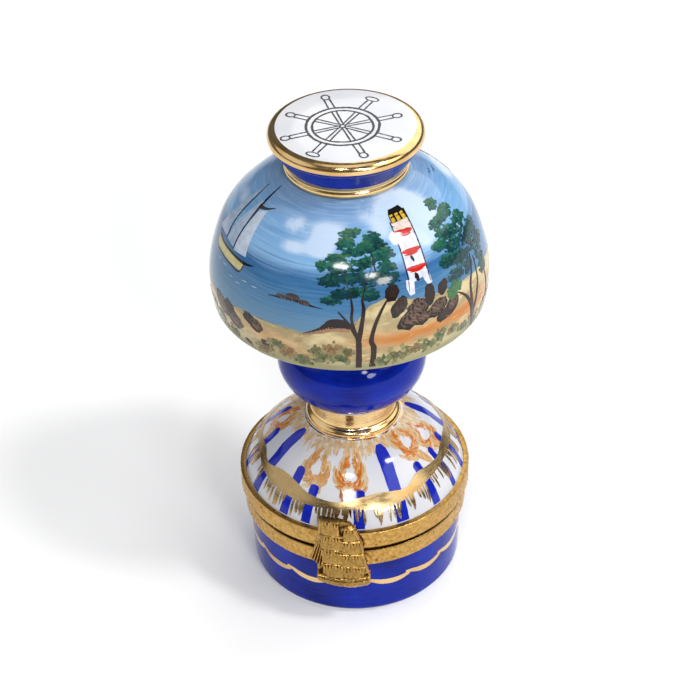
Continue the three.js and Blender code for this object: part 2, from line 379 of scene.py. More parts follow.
class Nodes:
    """Short calls for building one material's nodes."""

    def __init__(self, name):
        self.material = bpy.data.materials.new(name)
        self.material.use_nodes = True
        self.tree = self.material.node_tree
        self.shader = self.tree.nodes["Principled BSDF"]
        self.where = self.add("ShaderNodeTexCoord").outputs["Object"]

    def add(self, kind, **settings):
        node = self.tree.nodes.new(kind)
        for key, value in settings.items():
            setattr(node, key, value)
        return node

    def feed(self, socket, value):
        if isinstance(value, bpy.types.NodeSocket):
            self.tree.links.new(value, socket)
        elif isinstance(value, tuple) and len(value) == 3 and socket.type == "RGBA":
            socket.default_value = (*value, 1)
        else:
            socket.default_value = value

    def math(self, operation, a, b):
        node = self.add("ShaderNodeMath", operation=operation)
        self.feed(node.inputs[0], a)
        self.feed(node.inputs[1], b)
        return node.outputs[0]

    def scaled(self, vector, scale):
        node = self.add("ShaderNodeVectorMath", operation="MULTIPLY")
        self.feed(node.inputs[0], vector)
        node.inputs[1].default_value = scale
        return node.outputs[0]

    def noise(self, scale, detail=3.0, roughness=0.5, vector=None):
        node = self.add("ShaderNodeTexNoise")
        self.feed(node.inputs["Vector"], vector or self.where)
        node.inputs["Scale"].default_value = scale
        node.inputs["Detail"].default_value = detail
        node.inputs["Roughness"].default_value = roughness
        return node.outputs["Fac"]

    def ramp(self, value, low_in, high_in, low_out=0.0, high_out=1.0):
        node = self.add("ShaderNodeMapRange", interpolation_type="SMOOTHSTEP")
        self.feed(node.inputs["Value"], value)
        limits = {"From Min": low_in, "From Max": high_in, "To Min": low_out, "To Max": high_out}
        for key, number in limits.items():
            node.inputs[key].default_value = number
        return node.outputs["Result"]

    def mix(self, share, a, b):
        node = self.add("ShaderNodeMix", data_type="RGBA")
        self.feed(node.inputs[0], share)
        self.feed(node.inputs[6], a)
        self.feed(node.inputs[7], b)
        return node.outputs[2]

    def attribute(self, name, output="Fac"):
        return self.add("ShaderNodeAttribute", attribute_name=name).outputs[output]

    def bump(self, height, strength, distance_mm):
        node = self.add("ShaderNodeBump")
        node.inputs["Strength"].default_value = strength
        node.inputs["Distance"].default_value = distance_mm * MM
        self.feed(node.inputs["Height"], height)
        self.tree.links.new(node.outputs["Normal"], self.shader.inputs["Normal"])

    def finish(self, colour, roughness, metallic=0.0, specular=0.4):
        self.feed(self.shader.inputs["Base Color"], colour)
        self.feed(self.shader.inputs["Roughness"], roughness)
        self.shader.inputs["Metallic"].default_value = metallic
        self.shader.inputs["Specular IOR Level"].default_value = specular
        return self.material


def glaze_waves(n, strength=0.25):
    """The slight unevenness of a poured glaze, which bends its reflections."""
    n.bump(n.noise(300, detail=3.5, roughness=0.6), strength, 0.08)


def white_glaze(name, light, shaded):
    n = Nodes(name)
    cloud_and_sheen = n.ramp(n.noise(90, detail=2), 0.35, 0.7)
    colour = n.mix(cloud_and_sheen, light, shaded)
    glaze_waves(n)
    return n.finish(colour, n.ramp(n.noise(400), 0.3, 0.7, 0.06, 0.12))


def bisque():
    n = Nodes("bisque_foot")
    speck = n.ramp(n.noise(2600, detail=2), 0.6, 0.72)
    colour = n.mix(speck, rgb(226, 222, 212), rgb(190, 180, 164))
    n.bump(n.noise(3000), 0.5, 0.05)
    return n.finish(colour, 0.7)


def cobalt_glaze():
    """Brushed-on blue: darker pools, and fine streaks that run round the piece."""
    n = Nodes("cobalt_glaze")
    pools = n.ramp(n.noise(110, detail=2), 0.3, 0.72)
    streaks = n.noise(240, detail=4, roughness=0.65, vector=n.scaled(n.where, (1, 1, 9)))
    base = n.mix(pools, rgb(3, 16, 106), rgb(6, 34, 150))
    colour = n.mix(n.ramp(streaks, 0.35, 0.75, 0.0, 0.45), base, rgb(12, 48, 176))
    glaze_waves(n, 0.3)
    n.shader.inputs["IOR"].default_value = 1.3
    return n.finish(colour, n.ramp(n.noise(500), 0.3, 0.7, 0.05, 0.1), specular=0.4)


def gilding(name, smoothest, roughest, dim=1.0):
    """Gold fired over the glaze, with faint brush lines and thin places; dim darkens it."""
    n = Nodes(name)
    lines = n.noise(420, detail=4, roughness=0.6, vector=n.scaled(n.where, (1, 1, 5)))
    thin = n.ramp(n.noise(160, detail=3), 0.35, 0.75)
    bright, worn = (tuple(c * dim for c in gold) for gold in (rgb(232, 198, 142), rgb(210, 168, 106)))
    colour = n.mix(thin, bright, worn)
    n.bump(lines, 0.35, 0.05)
    return n.finish(colour, n.ramp(lines, 0.3, 0.75, smoothest, roughest), metallic=1.0)


def antique_brass():
    """Cast and chased brass: dark patina in hollows, bright where rubbed, painted shadow at the rims' gap.
    """
    n = Nodes("antique_brass")
    grain = n.noise(1500, detail=4, roughness=0.65)
    blotch = n.noise(260, detail=3)
    dark = n.mix(n.ramp(blotch, 0.3, 0.7), rgb(170, 126, 60), rgb(196, 152, 82))
    warm = n.mix(n.ramp(grain, 0.34, 0.7), dark, rgb(206, 166, 94))
    # darkened by the patina in the hollows and by the painted shadow line at the gap between the rims
    colour = n.mix(n.attribute("patina_and_shadow"), warm, rgb(34, 20, 8))
    n.bump(grain, 0.35, 0.04)
    return n.finish(colour, n.ramp(grain, 0.3, 0.7, 0.4, 0.22), metallic=1.0)


def enamel(name, roughness=0.1, grain=0.12, scale=900):
    """Fired paint that takes its colour from each stroke, thinner and thicker along the brush."""
    n = Nodes(name)
    tint = n.attribute("tint", "Color")
    thick = n.ramp(n.noise(scale, detail=3, roughness=0.6), 0.3, 0.7, 1 - grain, 1 + grain)
    node = n.add("ShaderNodeVectorMath", operation="SCALE")
    n.feed(node.inputs[0], tint)
    n.feed(node.inputs["Scale"], thick)
    glaze_waves(n)
    return n.finish(node.outputs[0], roughness, specular=0.35)


def seascape():
    """The painted ground of the shade: sky, clouds, sea and sand, brushed on in level streaks, with a
    painted sheen high on the right.
    """
    n = Nodes("seascape_ground")
    axes = n.add("ShaderNodeSeparateXYZ")
    n.feed(axes.inputs[0], n.where)
    height = n.math("MULTIPLY", axes.outputs[2], 1 / MM)
    brush = n.attribute("brush", "Vector")
    streaks = n.noise(90, detail=4, roughness=0.6, vector=n.scaled(brush, (0.6, 0.6, 14)))
    fine = n.noise(300, detail=4, roughness=0.65, vector=n.scaled(brush, (0.35, 0.35, 9)))
    wave = n.math("ADD", n.math("MULTIPLY", streaks, 2.6), n.math("MULTIPLY", fine, 0.8))
    level = n.math("ADD", height, n.math("SUBTRACT", wave, 1.7))

    sky = n.mix(n.ramp(level, 83.6, 87.6), rgb(128, 174, 214), rgb(112, 160, 206))
    sky = n.mix(n.ramp(level, 88.2, 91.6), sky, rgb(116, 150, 190))
    sky = n.mix(n.ramp(fine, 0.42, 0.72, 0.0, 0.45), sky, rgb(166, 200, 230))
    sky = n.mix(n.ramp(streaks, 0.5, 0.3, 0.0, 0.35), sky, rgb(76, 122, 172))
    puff = n.noise(170, detail=4, roughness=0.6)
    # painted highlight: the spots high on the right of the sky paint a pale sheen of reflected light as well
    # as clouds
    cloud_and_sheen = n.math("MULTIPLY", n.attribute("cloud_and_sheen"), n.ramp(puff, 0.2, 0.62, 0.2, 1.5))
    sky = n.mix(n.ramp(cloud_and_sheen, 0.08, 0.8, 0.0, 0.8), sky, rgb(200, 216, 236))
    sea = n.mix(n.ramp(level, 78.4, 83.8), rgb(64, 112, 152), rgb(40, 92, 144))
    sea = n.mix(n.ramp(level, 73.0, 78.6), rgb(92, 130, 158), sea)
    sea = n.mix(n.ramp(fine, 0.4, 0.7, 0.0, 0.45), sea, rgb(96, 140, 176))
    view = n.mix(n.ramp(level, 82.4, 85.2), sea, sky)

    drift = n.noise(190, detail=3, roughness=0.6, vector=n.scaled(n.where, (1, 1, 2.5)))
    sand = n.mix(n.ramp(drift, 0.35, 0.65), rgb(160, 142, 102), rgb(204, 186, 142))
    warm = n.math("MULTIPLY", n.attribute("warm"), n.ramp(drift, 0.25, 0.55))
    sand = n.mix(warm, sand, rgb(184, 114, 48))
    # painted shade together with the painting's greener ground: the sand turns a darker green-grey towards
    # the shade's lower edge
    sand = n.mix(n.ramp(height, 65.8, 68.6, 0.85, 0.0), sand, rgb(138, 136, 98))
    edge = n.math("ADD", n.attribute("shore"), n.math("MULTIPLY", n.math("SUBTRACT", drift, 0.5), 1.6))
    colour = n.mix(n.ramp(edge, -0.22, 0.22), sand, view)
    glaze_waves(n, 0.22)
    return n.finish(colour, n.ramp(fine, 0.3, 0.7, 0.06, 0.12), specular=0.35)


WHITE = white_glaze("white_glaze", rgb(226, 226, 228), rgb(216, 218, 224))
# Painted shade: the shoulder's white is a darker copy of the white glaze that the other porcelain has.
SHADED_SHOULDER_WHITE = white_glaze("shoulder_glaze_painted_shade", rgb(208, 207, 210), rgb(194, 196, 204))
BISQUE = bisque()
COBALT = cobalt_glaze()
GILT = gilding("burnished_gold", 0.1, 0.24)
GARLAND_GILT = gilding("brushed_gold", 0.2, 0.36, dim=0.6)
BRASS = antique_brass()
ENAMEL = enamel("enamel_paint")
INK = enamel("ink_line", roughness=0.2, grain=0.3, scale=1600)
SEASCAPE = seascape()


# ---- porcelain pieces ----


def slots_by_step(steps, bounds):
    """Material slots for faces, from (first outline step, slot) pairs in order."""
    firsts = [first for first, _ in bounds]
    return [bounds[int(np.searchsorted(firsts, step, side="right")) - 1][1] for step in steps]


def bowl():
    foot_in, recess, corner, inner = 17.2, 1.2, 1.7, 19.0
    floor_z, floor_round, lip = 3.0, 2.0, 0.5
    underside = [(0, recess), (foot_in - 0.9, recess)]
    foot = [(foot_in - 0.4, recess - 0.1), *arc(foot_in + 0.35, 0.35, 0.35, 190, 270, 4),
            *arc(FOOT_R, corner, corner, -90, -60, 3)]
    outside = [*arc(FOOT_R, corner, corner, -55, 0, 8), *[(BOWL_R, z) for z in (6, 10, 14)],
               *arc(BOWL_R - lip, BOWL_TOP - lip, lip, 0, 90, 4)]
    inside = [*arc(inner + lip, BOWL_TOP - lip, lip, 90, 180, 4),
              *arc(inner - floor_round, floor_z + floor_round, floor_round, 0, -90, 8), (0, floor_z)]
    points, faces, steps = turned(underside + foot + outside + inside)
    at_foot = len(underside) - 1
    at_side = at_foot + len(foot)
    at_lip = at_side + len(outside)
    slots = slots_by_step(steps, [(0, 0), (at_foot, 2), (at_side, 1), (at_lip, 0)])
    materials = [WHITE, COBALT, BISQUE]
    piece = make_piece("bowl_porcelain", points, faces, "box_base", materials, slots)
    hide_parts("bowl")


def shoulder():
    edge_z = low("lid_shoulder")
    vent = 2.0
    inside = inset(SHOULDER_WALL, WALL)[::-1][3:]
    seat = [(8.3, 41.0), (6.0, 40.1), (vent, 39.3)]
    outline = [(SHOULDER_R, edge_z), *SHOULDER_WALL, *NECK_WALL, *seat, (vent, 33.8), (8.0, 33.6), *inside,
               (SHOULDER_R - WALL, edge_z)]
    points, faces, _ = turned(outline, ring=True)
    piece = make_piece("shoulder_porcelain", points, faces, "lid", [SHADED_SHOULDER_WHITE])
    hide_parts("lid_shoulder")


def globe_run(offset, start_r, stop_r, steps):
    a, b = GLOBE_R + offset, GLOBE_HALF + offset
    first, last = -math.acos(start_r / a), math.acos(stop_r / a)
    return [(a * math.cos(t), GLOBE_Z + b * math.sin(t)) for t in np.linspace(first, last, steps + 1)]


def globe():
    vent, mouth = 2.0, 3.2
    outside = globe_run(0, vent, mouth, 64)
    inside = globe_run(-WALL, vent, mouth, 32)[::-1]
    points, faces, steps = turned(outside + inside, ring=True)
    slots = [0 if step < len(outside) - 1 else 1 for step in steps]
    piece = make_piece("globe_porcelain", points, faces, "lid", [COBALT, WHITE], slots)
    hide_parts("font_globe")


def stem():
    foot_z, top_z, bore = low("chimney_stem") + 0.02, top("chimney_stem"), 3.2
    outline = [(bore, foot_z + 0.5), (STEM_R + 0.5, foot_z),
               *arc(STEM_R + 1.0, foot_z + 1.2, 1.0, 225, 180, 5),
               (STEM_R, foot_z + 8), (STEM_R, top_z), (bore, top_z)]
    points, faces, _ = turned(outline, ring=True, around=96)
    piece = make_piece("stem_porcelain", points, faces, "lid", [WHITE])
    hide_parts("chimney_stem")


# The shoreline of the painting, as (angle, height) knots that go once round the shade.
SHORE = [
    (-180, 75.0), (-150, 76.2), (-120, 74.2), (-90, 72.0), (-60, 72.2), (-47, 72.9), (-38, 73.4),
    (-22, 73.5), (-12, 73.1), (0, 74.6), (7, 74.8), (11, 77.0), (15, 78.7), (23, 79.6), (34, 78.2),
    (46, 77.2), (62, 76.9), (80, 76.0), (100, 74.6), (125, 73.4), (150, 73.9), (180, 75.0),
]
# Clouds and warm sand, as (angle, height, half-width in degrees, half-height, strength).
# The pale spots at 45 and 52 degrees high on the right are a painted sheen of reflected light as well as
# clouds.
CLOUDS_AND_SHEEN = [
    (-26, 89.0, 7, 0.9, 0.8), (-8, 88.5, 8, 1.3, 1.0), (-23, 86.5, 6, 0.7, 0.9),
    (-8, 86.8, 7, 0.9, 0.9), (2, 88.8, 6, 1.2, 0.4), (27, 88.8, 7, 1.3, 0.5), (52, 89.8, 13, 1.7, 1.0),
    (60, 88.0, 8, 1.2, 0.9), (24, 90.6, 12, 1.0, 0.5), (50, 86.6, 8, 1.5, 0.8),
    (45, 91.2, 14, 1.3, 1.0), (-80, 87.4, 9, 1.0, 0.5), (120, 87.5, 14, 1.4, 0.9),
    (150, 88.6, 12, 1.1, 0.8), (178, 86.8, 12, 1.1, 0.8), (-140, 88.2, 14, 1.3, 0.9),
    (-112, 86.9, 9, 1.0, 0.7),
]
WARM = [
    (-30, 71.0, 12, 1.0, 0.5), (-22, 69.4, 10, 0.9, 0.7), (14, 72.6, 7, 1.4, 0.5),
    (26, 71.6, 14, 1.5, 0.9), (42, 71.4, 12, 1.2, 1.0), (58, 71.6, 12, 1.4, 1.0),
    (72, 70.2, 14, 1.6, 0.8), (110, 70.4, 16, 1.6, 0.8), (150, 70.6, 16, 1.5, 0.8),
    (-160, 71.4, 18, 1.6, 0.8), (-110, 69.6, 16, 1.4, 0.7),
]


def angle_of(points):
    return np.degrees(np.arctan2(points[:, 0], -points[:, 1]))


def spots(angles, heights, table):
    """The sum of soft spots at each place."""
    total = np.zeros(len(angles))
    for a, z, wide, high, strength in table:
        away = (angles - a + 180) % 360 - 180
        total += strength * np.exp(-((away / wide) ** 2) - ((heights - z) / high) ** 2)
    return np.clip(total, 0, 1)


def brush_lines(piece, places):
    """Where each point lies in level brush strokes: round a drum, and along the slope as height."""
    surface = Turned(SHADE_WALL)
    inside_crown = surface.r[-1] - np.hypot(places[:, 0], places[:, 1])
    along = surface.along(places[:, 2]) + np.clip(inside_crown, 0, 20)
    a = np.arctan2(places[:, 0], -places[:, 1])
    lines = np.stack([20 * np.sin(a), -20 * np.cos(a), along], 1) * MM
    layer = piece.data.attributes.new("brush", "FLOAT_VECTOR", "POINT")
    layer.data.foreach_set("vector", lines.astype(np.float32).ravel())


def shade():
    lip_r, lip_z, tube = 24.85, 66.0, 0.95
    lining = [(0, CROWN_Z - WALL), (STEM_R + 4, CROWN_Z - WALL), *inset(SHADE_WALL, 2 * tube)[1:-8][::-1],
              *arc(lip_r, lip_z, tube, -180, -60, 10)]
    painted = [*arc(lip_r, lip_z, tube, -50, -5, 6), *SHADE_WALL[1:], (9.0, CROWN_Z), (0, CROWN_Z)]
    points, faces, steps = turned(lining + painted, around=240)
    slots = [0 if step < len(lining) - 1 else 1 for step in steps]
    piece = make_piece("shade_porcelain", points, faces, "lid", [WHITE, SEASCAPE], slots)
    places = np.array(points, float)
    angles, heights = angle_of(places), places[:, 2]
    knots = np.array(SHORE, float)
    mark(piece, "shore", heights - np.interp(angles, knots[:, 0], knots[:, 1]))
    mark(piece, "cloud_and_sheen", spots(angles, heights, CLOUDS_AND_SHEEN))
    mark(piece, "warm", spots(angles, heights, WARM))
    brush_lines(piece, places)
    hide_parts("lamp_shade")


def cap():
    bore, ceiling, bottom = 9.2, 97.9, low("chimney_cap")
    underside = [(0, ceiling), (bore + 1.2, ceiling - 0.6), (bore + 1.2, ceiling - 1.6),
                 (bore, bottom + 1.8), (bore, bottom)]
    collar = CAP_COLLAR[2:]
    flare = [*CAP_FLARE[1:], *CAP_UNDER[1:]]
    edge = CAP_EDGE[1:]
    disc = [(CAP_RIM_R - 0.15, DISC_Z), (6, DISC_Z), (0, DISC_Z)]
    points, faces, steps = turned(underside + collar + flare + edge + disc)
    at_collar = len(underside) - 1
    at_flare = at_collar + len(collar)
    at_edge = at_flare + len(flare)
    at_disc = at_edge + len(edge)
    slots = slots_by_step(steps, [(0, 0), (at_collar, 2), (at_flare, 1), (at_edge, 2), (at_disc, 0)])
    piece = make_piece("cap_porcelain", points, faces, "lid", [WHITE, COBALT, GILT], slots)
    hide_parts("chimney_cap")


# ---- brass ----


def pitting(low_z, high_z, seed):
    """The height of a worn cast surface at each angle and height: raised dots, pits and ripples."""
    mean_r = 22.9
    source = np.random.default_rng(seed)
    angles = np.linspace(0, 2 * math.pi, RIM_AROUND, endpoint=False)
    rows = np.linspace(low_z, high_z, 41)
    field = np.zeros((len(rows), len(angles)))
    for _ in range(1100):
        a, z = source.uniform(0, 2 * math.pi), source.uniform(low_z + 0.4, high_z - 0.4)
        size, strength = source.uniform(0.12, 0.26), source.choice((-0.12, -0.06, 0.05, 0.08))
        away = (angles - a + math.pi) % (2 * math.pi) - math.pi
        near = np.abs(away) < 0.06
        spot = ((away[near] * mean_r) ** 2)[None, :] + ((rows - z) ** 2)[:, None]
        field[:, near] += strength * np.exp(-spot / size**2)
    for _ in range(24):
        count, phase, slope = source.integers(20, 130), source.uniform(0, 6.3), source.uniform(0.2, 2.4)
        field += 0.012 * np.sin(count * angles[None, :] + phase + slope * 2 * (rows - low_z)[:, None])
    return rows, field


def chased(low_z, high_z, relief):
    """Moves the outer face of a rim by the relief, between two plain edges."""
    rows, field = relief

    def shape(grid):
        x, y, z = grid[..., 0], grid[..., 1], grid[..., 2]
        r = np.hypot(x, y)
        face = np.clip((z - low_z) / 0.5, 0, 1) * np.clip((high_z - z) / 0.5, 0, 1) * (r > r.max() - 0.4)
        picked = np.clip(np.searchsorted(rows, z[:, 0]), 0, len(rows) - 1)
        k = (r + face * (field[picked] - 0.1)) / r
        return np.stack([x * k, y * k, z], -1)

    return shape


def darken_pits_and_gap_shadow(piece, full_r, gap):
    """Marks the patina in the pits of a rim, and a painted shadow line at a gap of (height, half-width)."""
    count = len(piece.data.vertices)
    places = np.empty(count * 3, np.float32)
    piece.data.vertices.foreach_get("co", places)
    x, y, z = (places.reshape(-1, 3) / MM).T
    r = np.hypot(x, y)
    pits = np.clip((full_r - 0.12 - r) / 0.16, 0, 1) * 0.35 * (r > full_r - 0.6)
    # painted shadow: a dark band along the gap where the two rims meet, darkest on the outer face
    seam = np.clip(1 - np.abs(z - gap[0]) / gap[1], 0, 1) * np.where(r > full_r - 1.0, 1.3, 0.35)
    mark(piece, "patina_and_shadow", np.clip(np.maximum(pits, seam), 0, 1))


def rim_face(r, low_z, high_z, bevel=0.28, rows=18):
    """The outside of a rim from its lower edge to its upper edge."""
    side = [(r, z) for z in np.linspace(low_z + bevel, high_z - bevel, rows)]
    return [*arc(r - bevel, low_z + bevel, bevel, -90, -20, 4), *side,
            *arc(r - bevel, high_z - bevel, bevel, 20, 90, 4)]


def lower_rim():
    r, bottom, lip = LOWER_RIM["r"], LOWER_RIM["low"], LOWER_RIM["lip"]
    wall_in, lip_out, lip_in, plate = BOWL_R + 0.05, 20.1, 19.6, 0.8
    face_top, groove_r = LOWER_RIM_TOP - 0.75, r - 0.95
    outline = [(wall_in, bottom), *rim_face(r, bottom, face_top), (groove_r, face_top),
               (groove_r, LOWER_RIM_TOP), (lip_out, LOWER_RIM_TOP), (lip_out, lip - 0.1),
               (lip_out - 0.1, lip), (lip_in + 0.1, lip), (lip_in, lip - 0.1),
               (lip_in, LOWER_RIM_TOP - plate), (wall_in, LOWER_RIM_TOP - plate)]
    shape = chased(bottom, face_top, pitting(bottom, face_top, 3))
    points, faces, _ = turned(outline, around=RIM_AROUND, ring=True, shape=shape)
    piece = make_piece("lower_rim_brass", points, faces, "box_base", [BRASS])
    # painted shadow in and round the groove under the upper rim
    darken_pits_and_gap_shadow(piece, r, (LOWER_RIM_TOP - 0.3, 0.85))
    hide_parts("lower_bezel")


def upper_rim():
    r, bottom, height = UPPER_RIM["r"], UPPER_RIM["low"], UPPER_RIM["top"]
    wall_in, flange_in, plate = SHOULDER_R + 0.05, 20.5, 0.8
    outline = [(flange_in, bottom), *rim_face(r, bottom, height), (wall_in, height),
               (wall_in, bottom + plate), (flange_in, bottom + plate)]
    shape = chased(bottom, height, pitting(bottom, height, 5))
    points, faces, _ = turned(outline, around=RIM_AROUND, ring=True, shape=shape)
    piece = make_piece("upper_rim_brass", points, faces, "lid", [BRASS])
    # painted shadow along the lower edge, where the upper rim meets the lower rim
    darken_pits_and_gap_shadow(piece, r, (bottom, 0.3))
    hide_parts("upper_bezel")


def dress_hinge():
    """The turned and sawn hinge pieces keep their CAD shape, with softened edges and brass."""
    nodes = ["base_knuckle_left", "base_knuckle_middle", "base_knuckle_right", "lid_knuckle_left",
             "lid_knuckle_right", "hinge_pin", "catch_stud"]
    for name in nodes:
        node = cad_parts[name]
        node.data.materials.clear()
        node.data.materials.append(BRASS)
        bevel = node.modifiers.new("soft_edges", "BEVEL")
        bevel.width = 0.07 * MM
        bevel.segments = 2
        bevel.limit_method = "ANGLE"
        bevel.angle_limit = math.radians(40)


# ---- the ship on the clasp ----

KEEL_Z = low("ship_clasp")
PLATE_R = 24.25  # front of the clasp's backing
BACK_R = 23.5
MAST_SAILS = [(-1.5, 2.5, 17.4, (2.4, 2.35, 2.2, 1.8)), (2.0, 2.3, 15.8, (2.4, 2.2, 1.85, 1.25))]
# The clasp's outline, as (x, height above the keel) corners.
CLASP_OUTLINE = [
    (-4.7, 1.3), (-2.0, 0.75), (1.0, 0.5), (5.1, 0.75), (5.5, 1.9), (5.0, 3.2), (4.5, 7.5), (4.1, 11.5),
    (3.0, 14.8), (1.7, 16.7), (-0.4, 17.4), (-4.3, 17.6), (-4.8, 12.8), (-6.3, 6.6), (-5.9, 5.9),
    (-5.0, 5.4), (-5.0, 2.9),
]


def inside_outline(x, up):
    """Which places lie inside the clasp's outline, by counting crossings."""
    inside = np.zeros(x.shape, bool)
    for (x0, z0), (x1, z1) in zip(CLASP_OUTLINE, CLASP_OUTLINE[1:] + CLASP_OUTLINE[:1]):
        crosses = (z0 > up) != (z1 > up)
        inside ^= crosses & (x < (x1 - x0) * (up - z0) / (z1 - z0 + 1e-9) + x0)
    return inside


def rope(x, up, run, width, swell, base):
    """The height of a round cord laid along a run of points."""
    height = np.zeros(x.shape)
    for (x0, z0), (x1, z1) in zip(run, run[1:]):
        t = np.clip(((x - x0) * (x1 - x0) + (up - z0) * (z1 - z0)) / ((x1 - x0) ** 2 + (z1 - z0) ** 2), 0, 1)
        away = np.hypot(x - x0 - t * (x1 - x0), up - z0 - t * (z1 - z0))
        crown = np.sqrt(np.clip(1 - (away / width) ** 2, 0, 1))
        height = np.maximum(height, (away < width) * (base + swell * crown))
    return height


def sail(x, up, middle, foot, head, half):
    """The height of one bellied sail: full at its curved foot, flat at its yard, with reef points."""
    u = (x - middle) / (half * (1 - 0.1 * (up - foot) / (head - foot)))
    t = (up - foot - 0.4 * (1 - u**2)) / (head - foot)
    inside = (np.abs(u) < 1) & (t > 0) & (t < 1)
    belly = np.sqrt(np.clip(1 - u**2, 0, 1)) * np.clip(1.15 - t, 0, 1)
    row = np.exp(-(((t - 0.76) / 0.13) ** 2))
    points = np.clip(2 * np.sin(10 * (u * half + 0.12 * t)), 0, 1) * row
    seams = np.exp(-((np.sin(3.6 * u * half) / 0.25) ** 2))
    return inside * (0.42 + 0.62 * belly - 0.42 * points - 0.07 * seams)


def hull(x, up):
    """The height of the planked hull, rounded towards a keel that sags in the middle."""
    keel = 0.45 + 0.035 * (x - 1.2) ** 2
    rail = 2.75 + 0.03 * (x - 0.3) ** 2
    t = (up - keel) / (rail - keel)
    inside = (t > 0) & (t < 1) & (x > -5.0) & (x < 5.5)
    planks = 0.05 * np.cos(18 * t)
    ports = 0.12 * np.exp(-((t - 0.62) / 0.1) ** 2) * np.clip(np.sin(5.2 * x), 0, 1)
    rounded = np.sqrt(np.clip(1 - (2 * t - 1.1) ** 2 / 1.5, 0, 1))
    return inside * (0.55 + 0.85 * rounded + planks + ports)


def clasp_height(x, up):
    """The height of the casting's front over its backing, and -1 outside the casting."""
    source = random.Random(9)
    height = np.where(inside_outline(x, up), 0.02, -1.0)

    def lay(feature):
        return np.maximum(height, np.where(feature > 0, feature, -1.0))

    for k in range(5):
        shroud = [(5.3 - 0.35 * k, 2.6), (4.6 - 0.3 * k, 6.5), (3.6 - 0.35 * k, 11.5), (2.6 - 0.2 * k, 15.0)]
        height = lay(rope(x, up, shroud, 0.16, 0.34, 0.16))
        stay = [(-6.2 + 0.55 * k, 6.3 - 0.35 * k), (-4.8 + 0.4 * k, 10.8), (-4.2 + 0.3 * k, 16.8)]
        height = lay(rope(x, up, stay, 0.18, 0.36, 0.16))
    height = lay(hull(x, up))
    x = x + 0.045 * (up - 4)
    for middle, bottom, top_z, halves in MAST_SAILS:
        height = lay(rope(x, up, [(middle, 2.5), (middle, top_z + 0.2)], 0.24, 0.4, 0.3))
        pitch = (top_z - bottom) / len(halves)
        for i, half in enumerate(halves):
            foot = bottom + i * pitch
            height = lay(sail(x, up, middle, foot, foot + pitch - 0.1, half))
            yard = [(middle - half, foot + pitch - 0.2), (middle + half, foot + pitch - 0.2)]
            height = lay(rope(x, up, yard, 0.17, 0.3, 0.5))
    for _ in range(420):
        px, pz = source.uniform(-6.3, 5.5), source.uniform(0.5, 17)
        size, strength = source.uniform(0.1, 0.22), source.choice((-0.1, -0.06, 0.07, 0.1))
        height += (height > 0) * strength * np.exp(-((x - px) ** 2 + (up - pz) ** 2) / size**2)
    return height


def softened(field, passes):
    """The field averaged with its neighbours, so that its edges look cast and worn."""
    for _ in range(passes):
        padded = np.pad(field, 1, mode="edge")
        beside = padded[:-2, 1:-1] + padded[2:, 1:-1] + padded[1:-1, :-2] + padded[1:-1, 2:]
        field = (2 * field + beside) / 6
    return field


def ship():
    """The clasp as one casting: a two-masted ship in relief on a backing bent round the rim."""
    pitch = 0.085
    xs, ups = np.arange(-6.5, 5.9, pitch), np.arange(0.1, 17.4, pitch)
    x, up = np.meshgrid(xs, ups)
    raw = clasp_height(x, up)
    solid = raw > -0.5
    edge_passes, worn_passes, hollow_passes = 36, 2, 10
    rounding = np.clip((softened(solid.astype(float), edge_passes) - 0.45) / 0.45, 0.15, 1)
    height = softened(np.where(solid, np.maximum(raw, 0) * rounding, 0), worn_passes)
    below_mean = softened(height, hollow_passes) - height
    patina_and_shadow = np.clip((0.36 + 5.0 * below_mean) * rounding, 0, 0.95)
    angle = x / PLATE_R
    front, back = PLATE_R + height, np.full(x.shape, BACK_R)
    layers = [np.stack([r * np.sin(angle), -r * np.cos(angle), KEEL_Z + up], -1).reshape(-1, 3)
              for r in (front, back)]
    index = np.arange(x.size).reshape(x.shape)
    cell = solid[:-1, :-1] & solid[1:, :-1] & solid[:-1, 1:] & solid[1:, 1:]
    faces, edges = [], set()
    for i, j in zip(*np.nonzero(cell)):
        quad = (index[i, j], index[i, j + 1], index[i + 1, j + 1], index[i + 1, j])
        faces.append(quad)
        faces.append(tuple(q + x.size for q in quad[::-1]))
        for edge in zip(quad, quad[1:] + quad[:1]):
            if edge[::-1] in edges:
                edges.remove(edge[::-1])
            else:
                edges.add(edge)
    for a, b in sorted(edges):
        faces.append((b, a, a + x.size, b + x.size))
    used = np.unique(np.array(faces))
    renumber = np.zeros(2 * x.size, int)
    renumber[used] = np.arange(len(used))
    points = np.concatenate(layers)[used]
    faces = renumber[np.array(faces)]
    piece = make_piece("ship_relief", points, faces, "lid", [BRASS], sharp=50)
    mark(piece, "patina_and_shadow", np.tile(patina_and_shadow.ravel(), 2)[used])
    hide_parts("ship_clasp")


# ---- gilding ----

PLAIN = (1, 1, 1)  # the tint of strokes whose material has its own colour


def band(paint, lower, upper, rows):
    """A band all round between two edges, each a height for every angle."""
    angles = np.arange(-180, 180, 1.5)
    lows = np.array([float(paint.surface.along(lower(a))) for a in angles])
    highs = np.array([float(paint.surface.along(upper(a))) for a in angles])
    up = np.linspace(0, 1, rows)[:, None]
    paint.sheet(angles + 0 * up, lows * (1 - up) + highs * up, 0.0 * up, PLAIN, wrap=True)


def hand_wave(size, seed):
    """The small unevenness of an edge laid by hand on a turning wheel."""
    source = random.Random(seed)
    waves = [(source.randint(2, 23), source.uniform(0, 6.3)) for _ in range(6)]
    return lambda angle: size * sum(math.sin(k * math.radians(angle) + p) for k, p in waves) / 3


def gilt_neck():
    paint = Paint(Turned([(10.1, 35.42), *NECK_WALL]), lift=0.03)
    wave = hand_wave(0.05, 11)
    band(paint, lambda a: 35.5 + wave(a), lambda a: 40.6, rows=26)
    paint.piece("neck_gilding", "lid", "white_glaze", GILT)


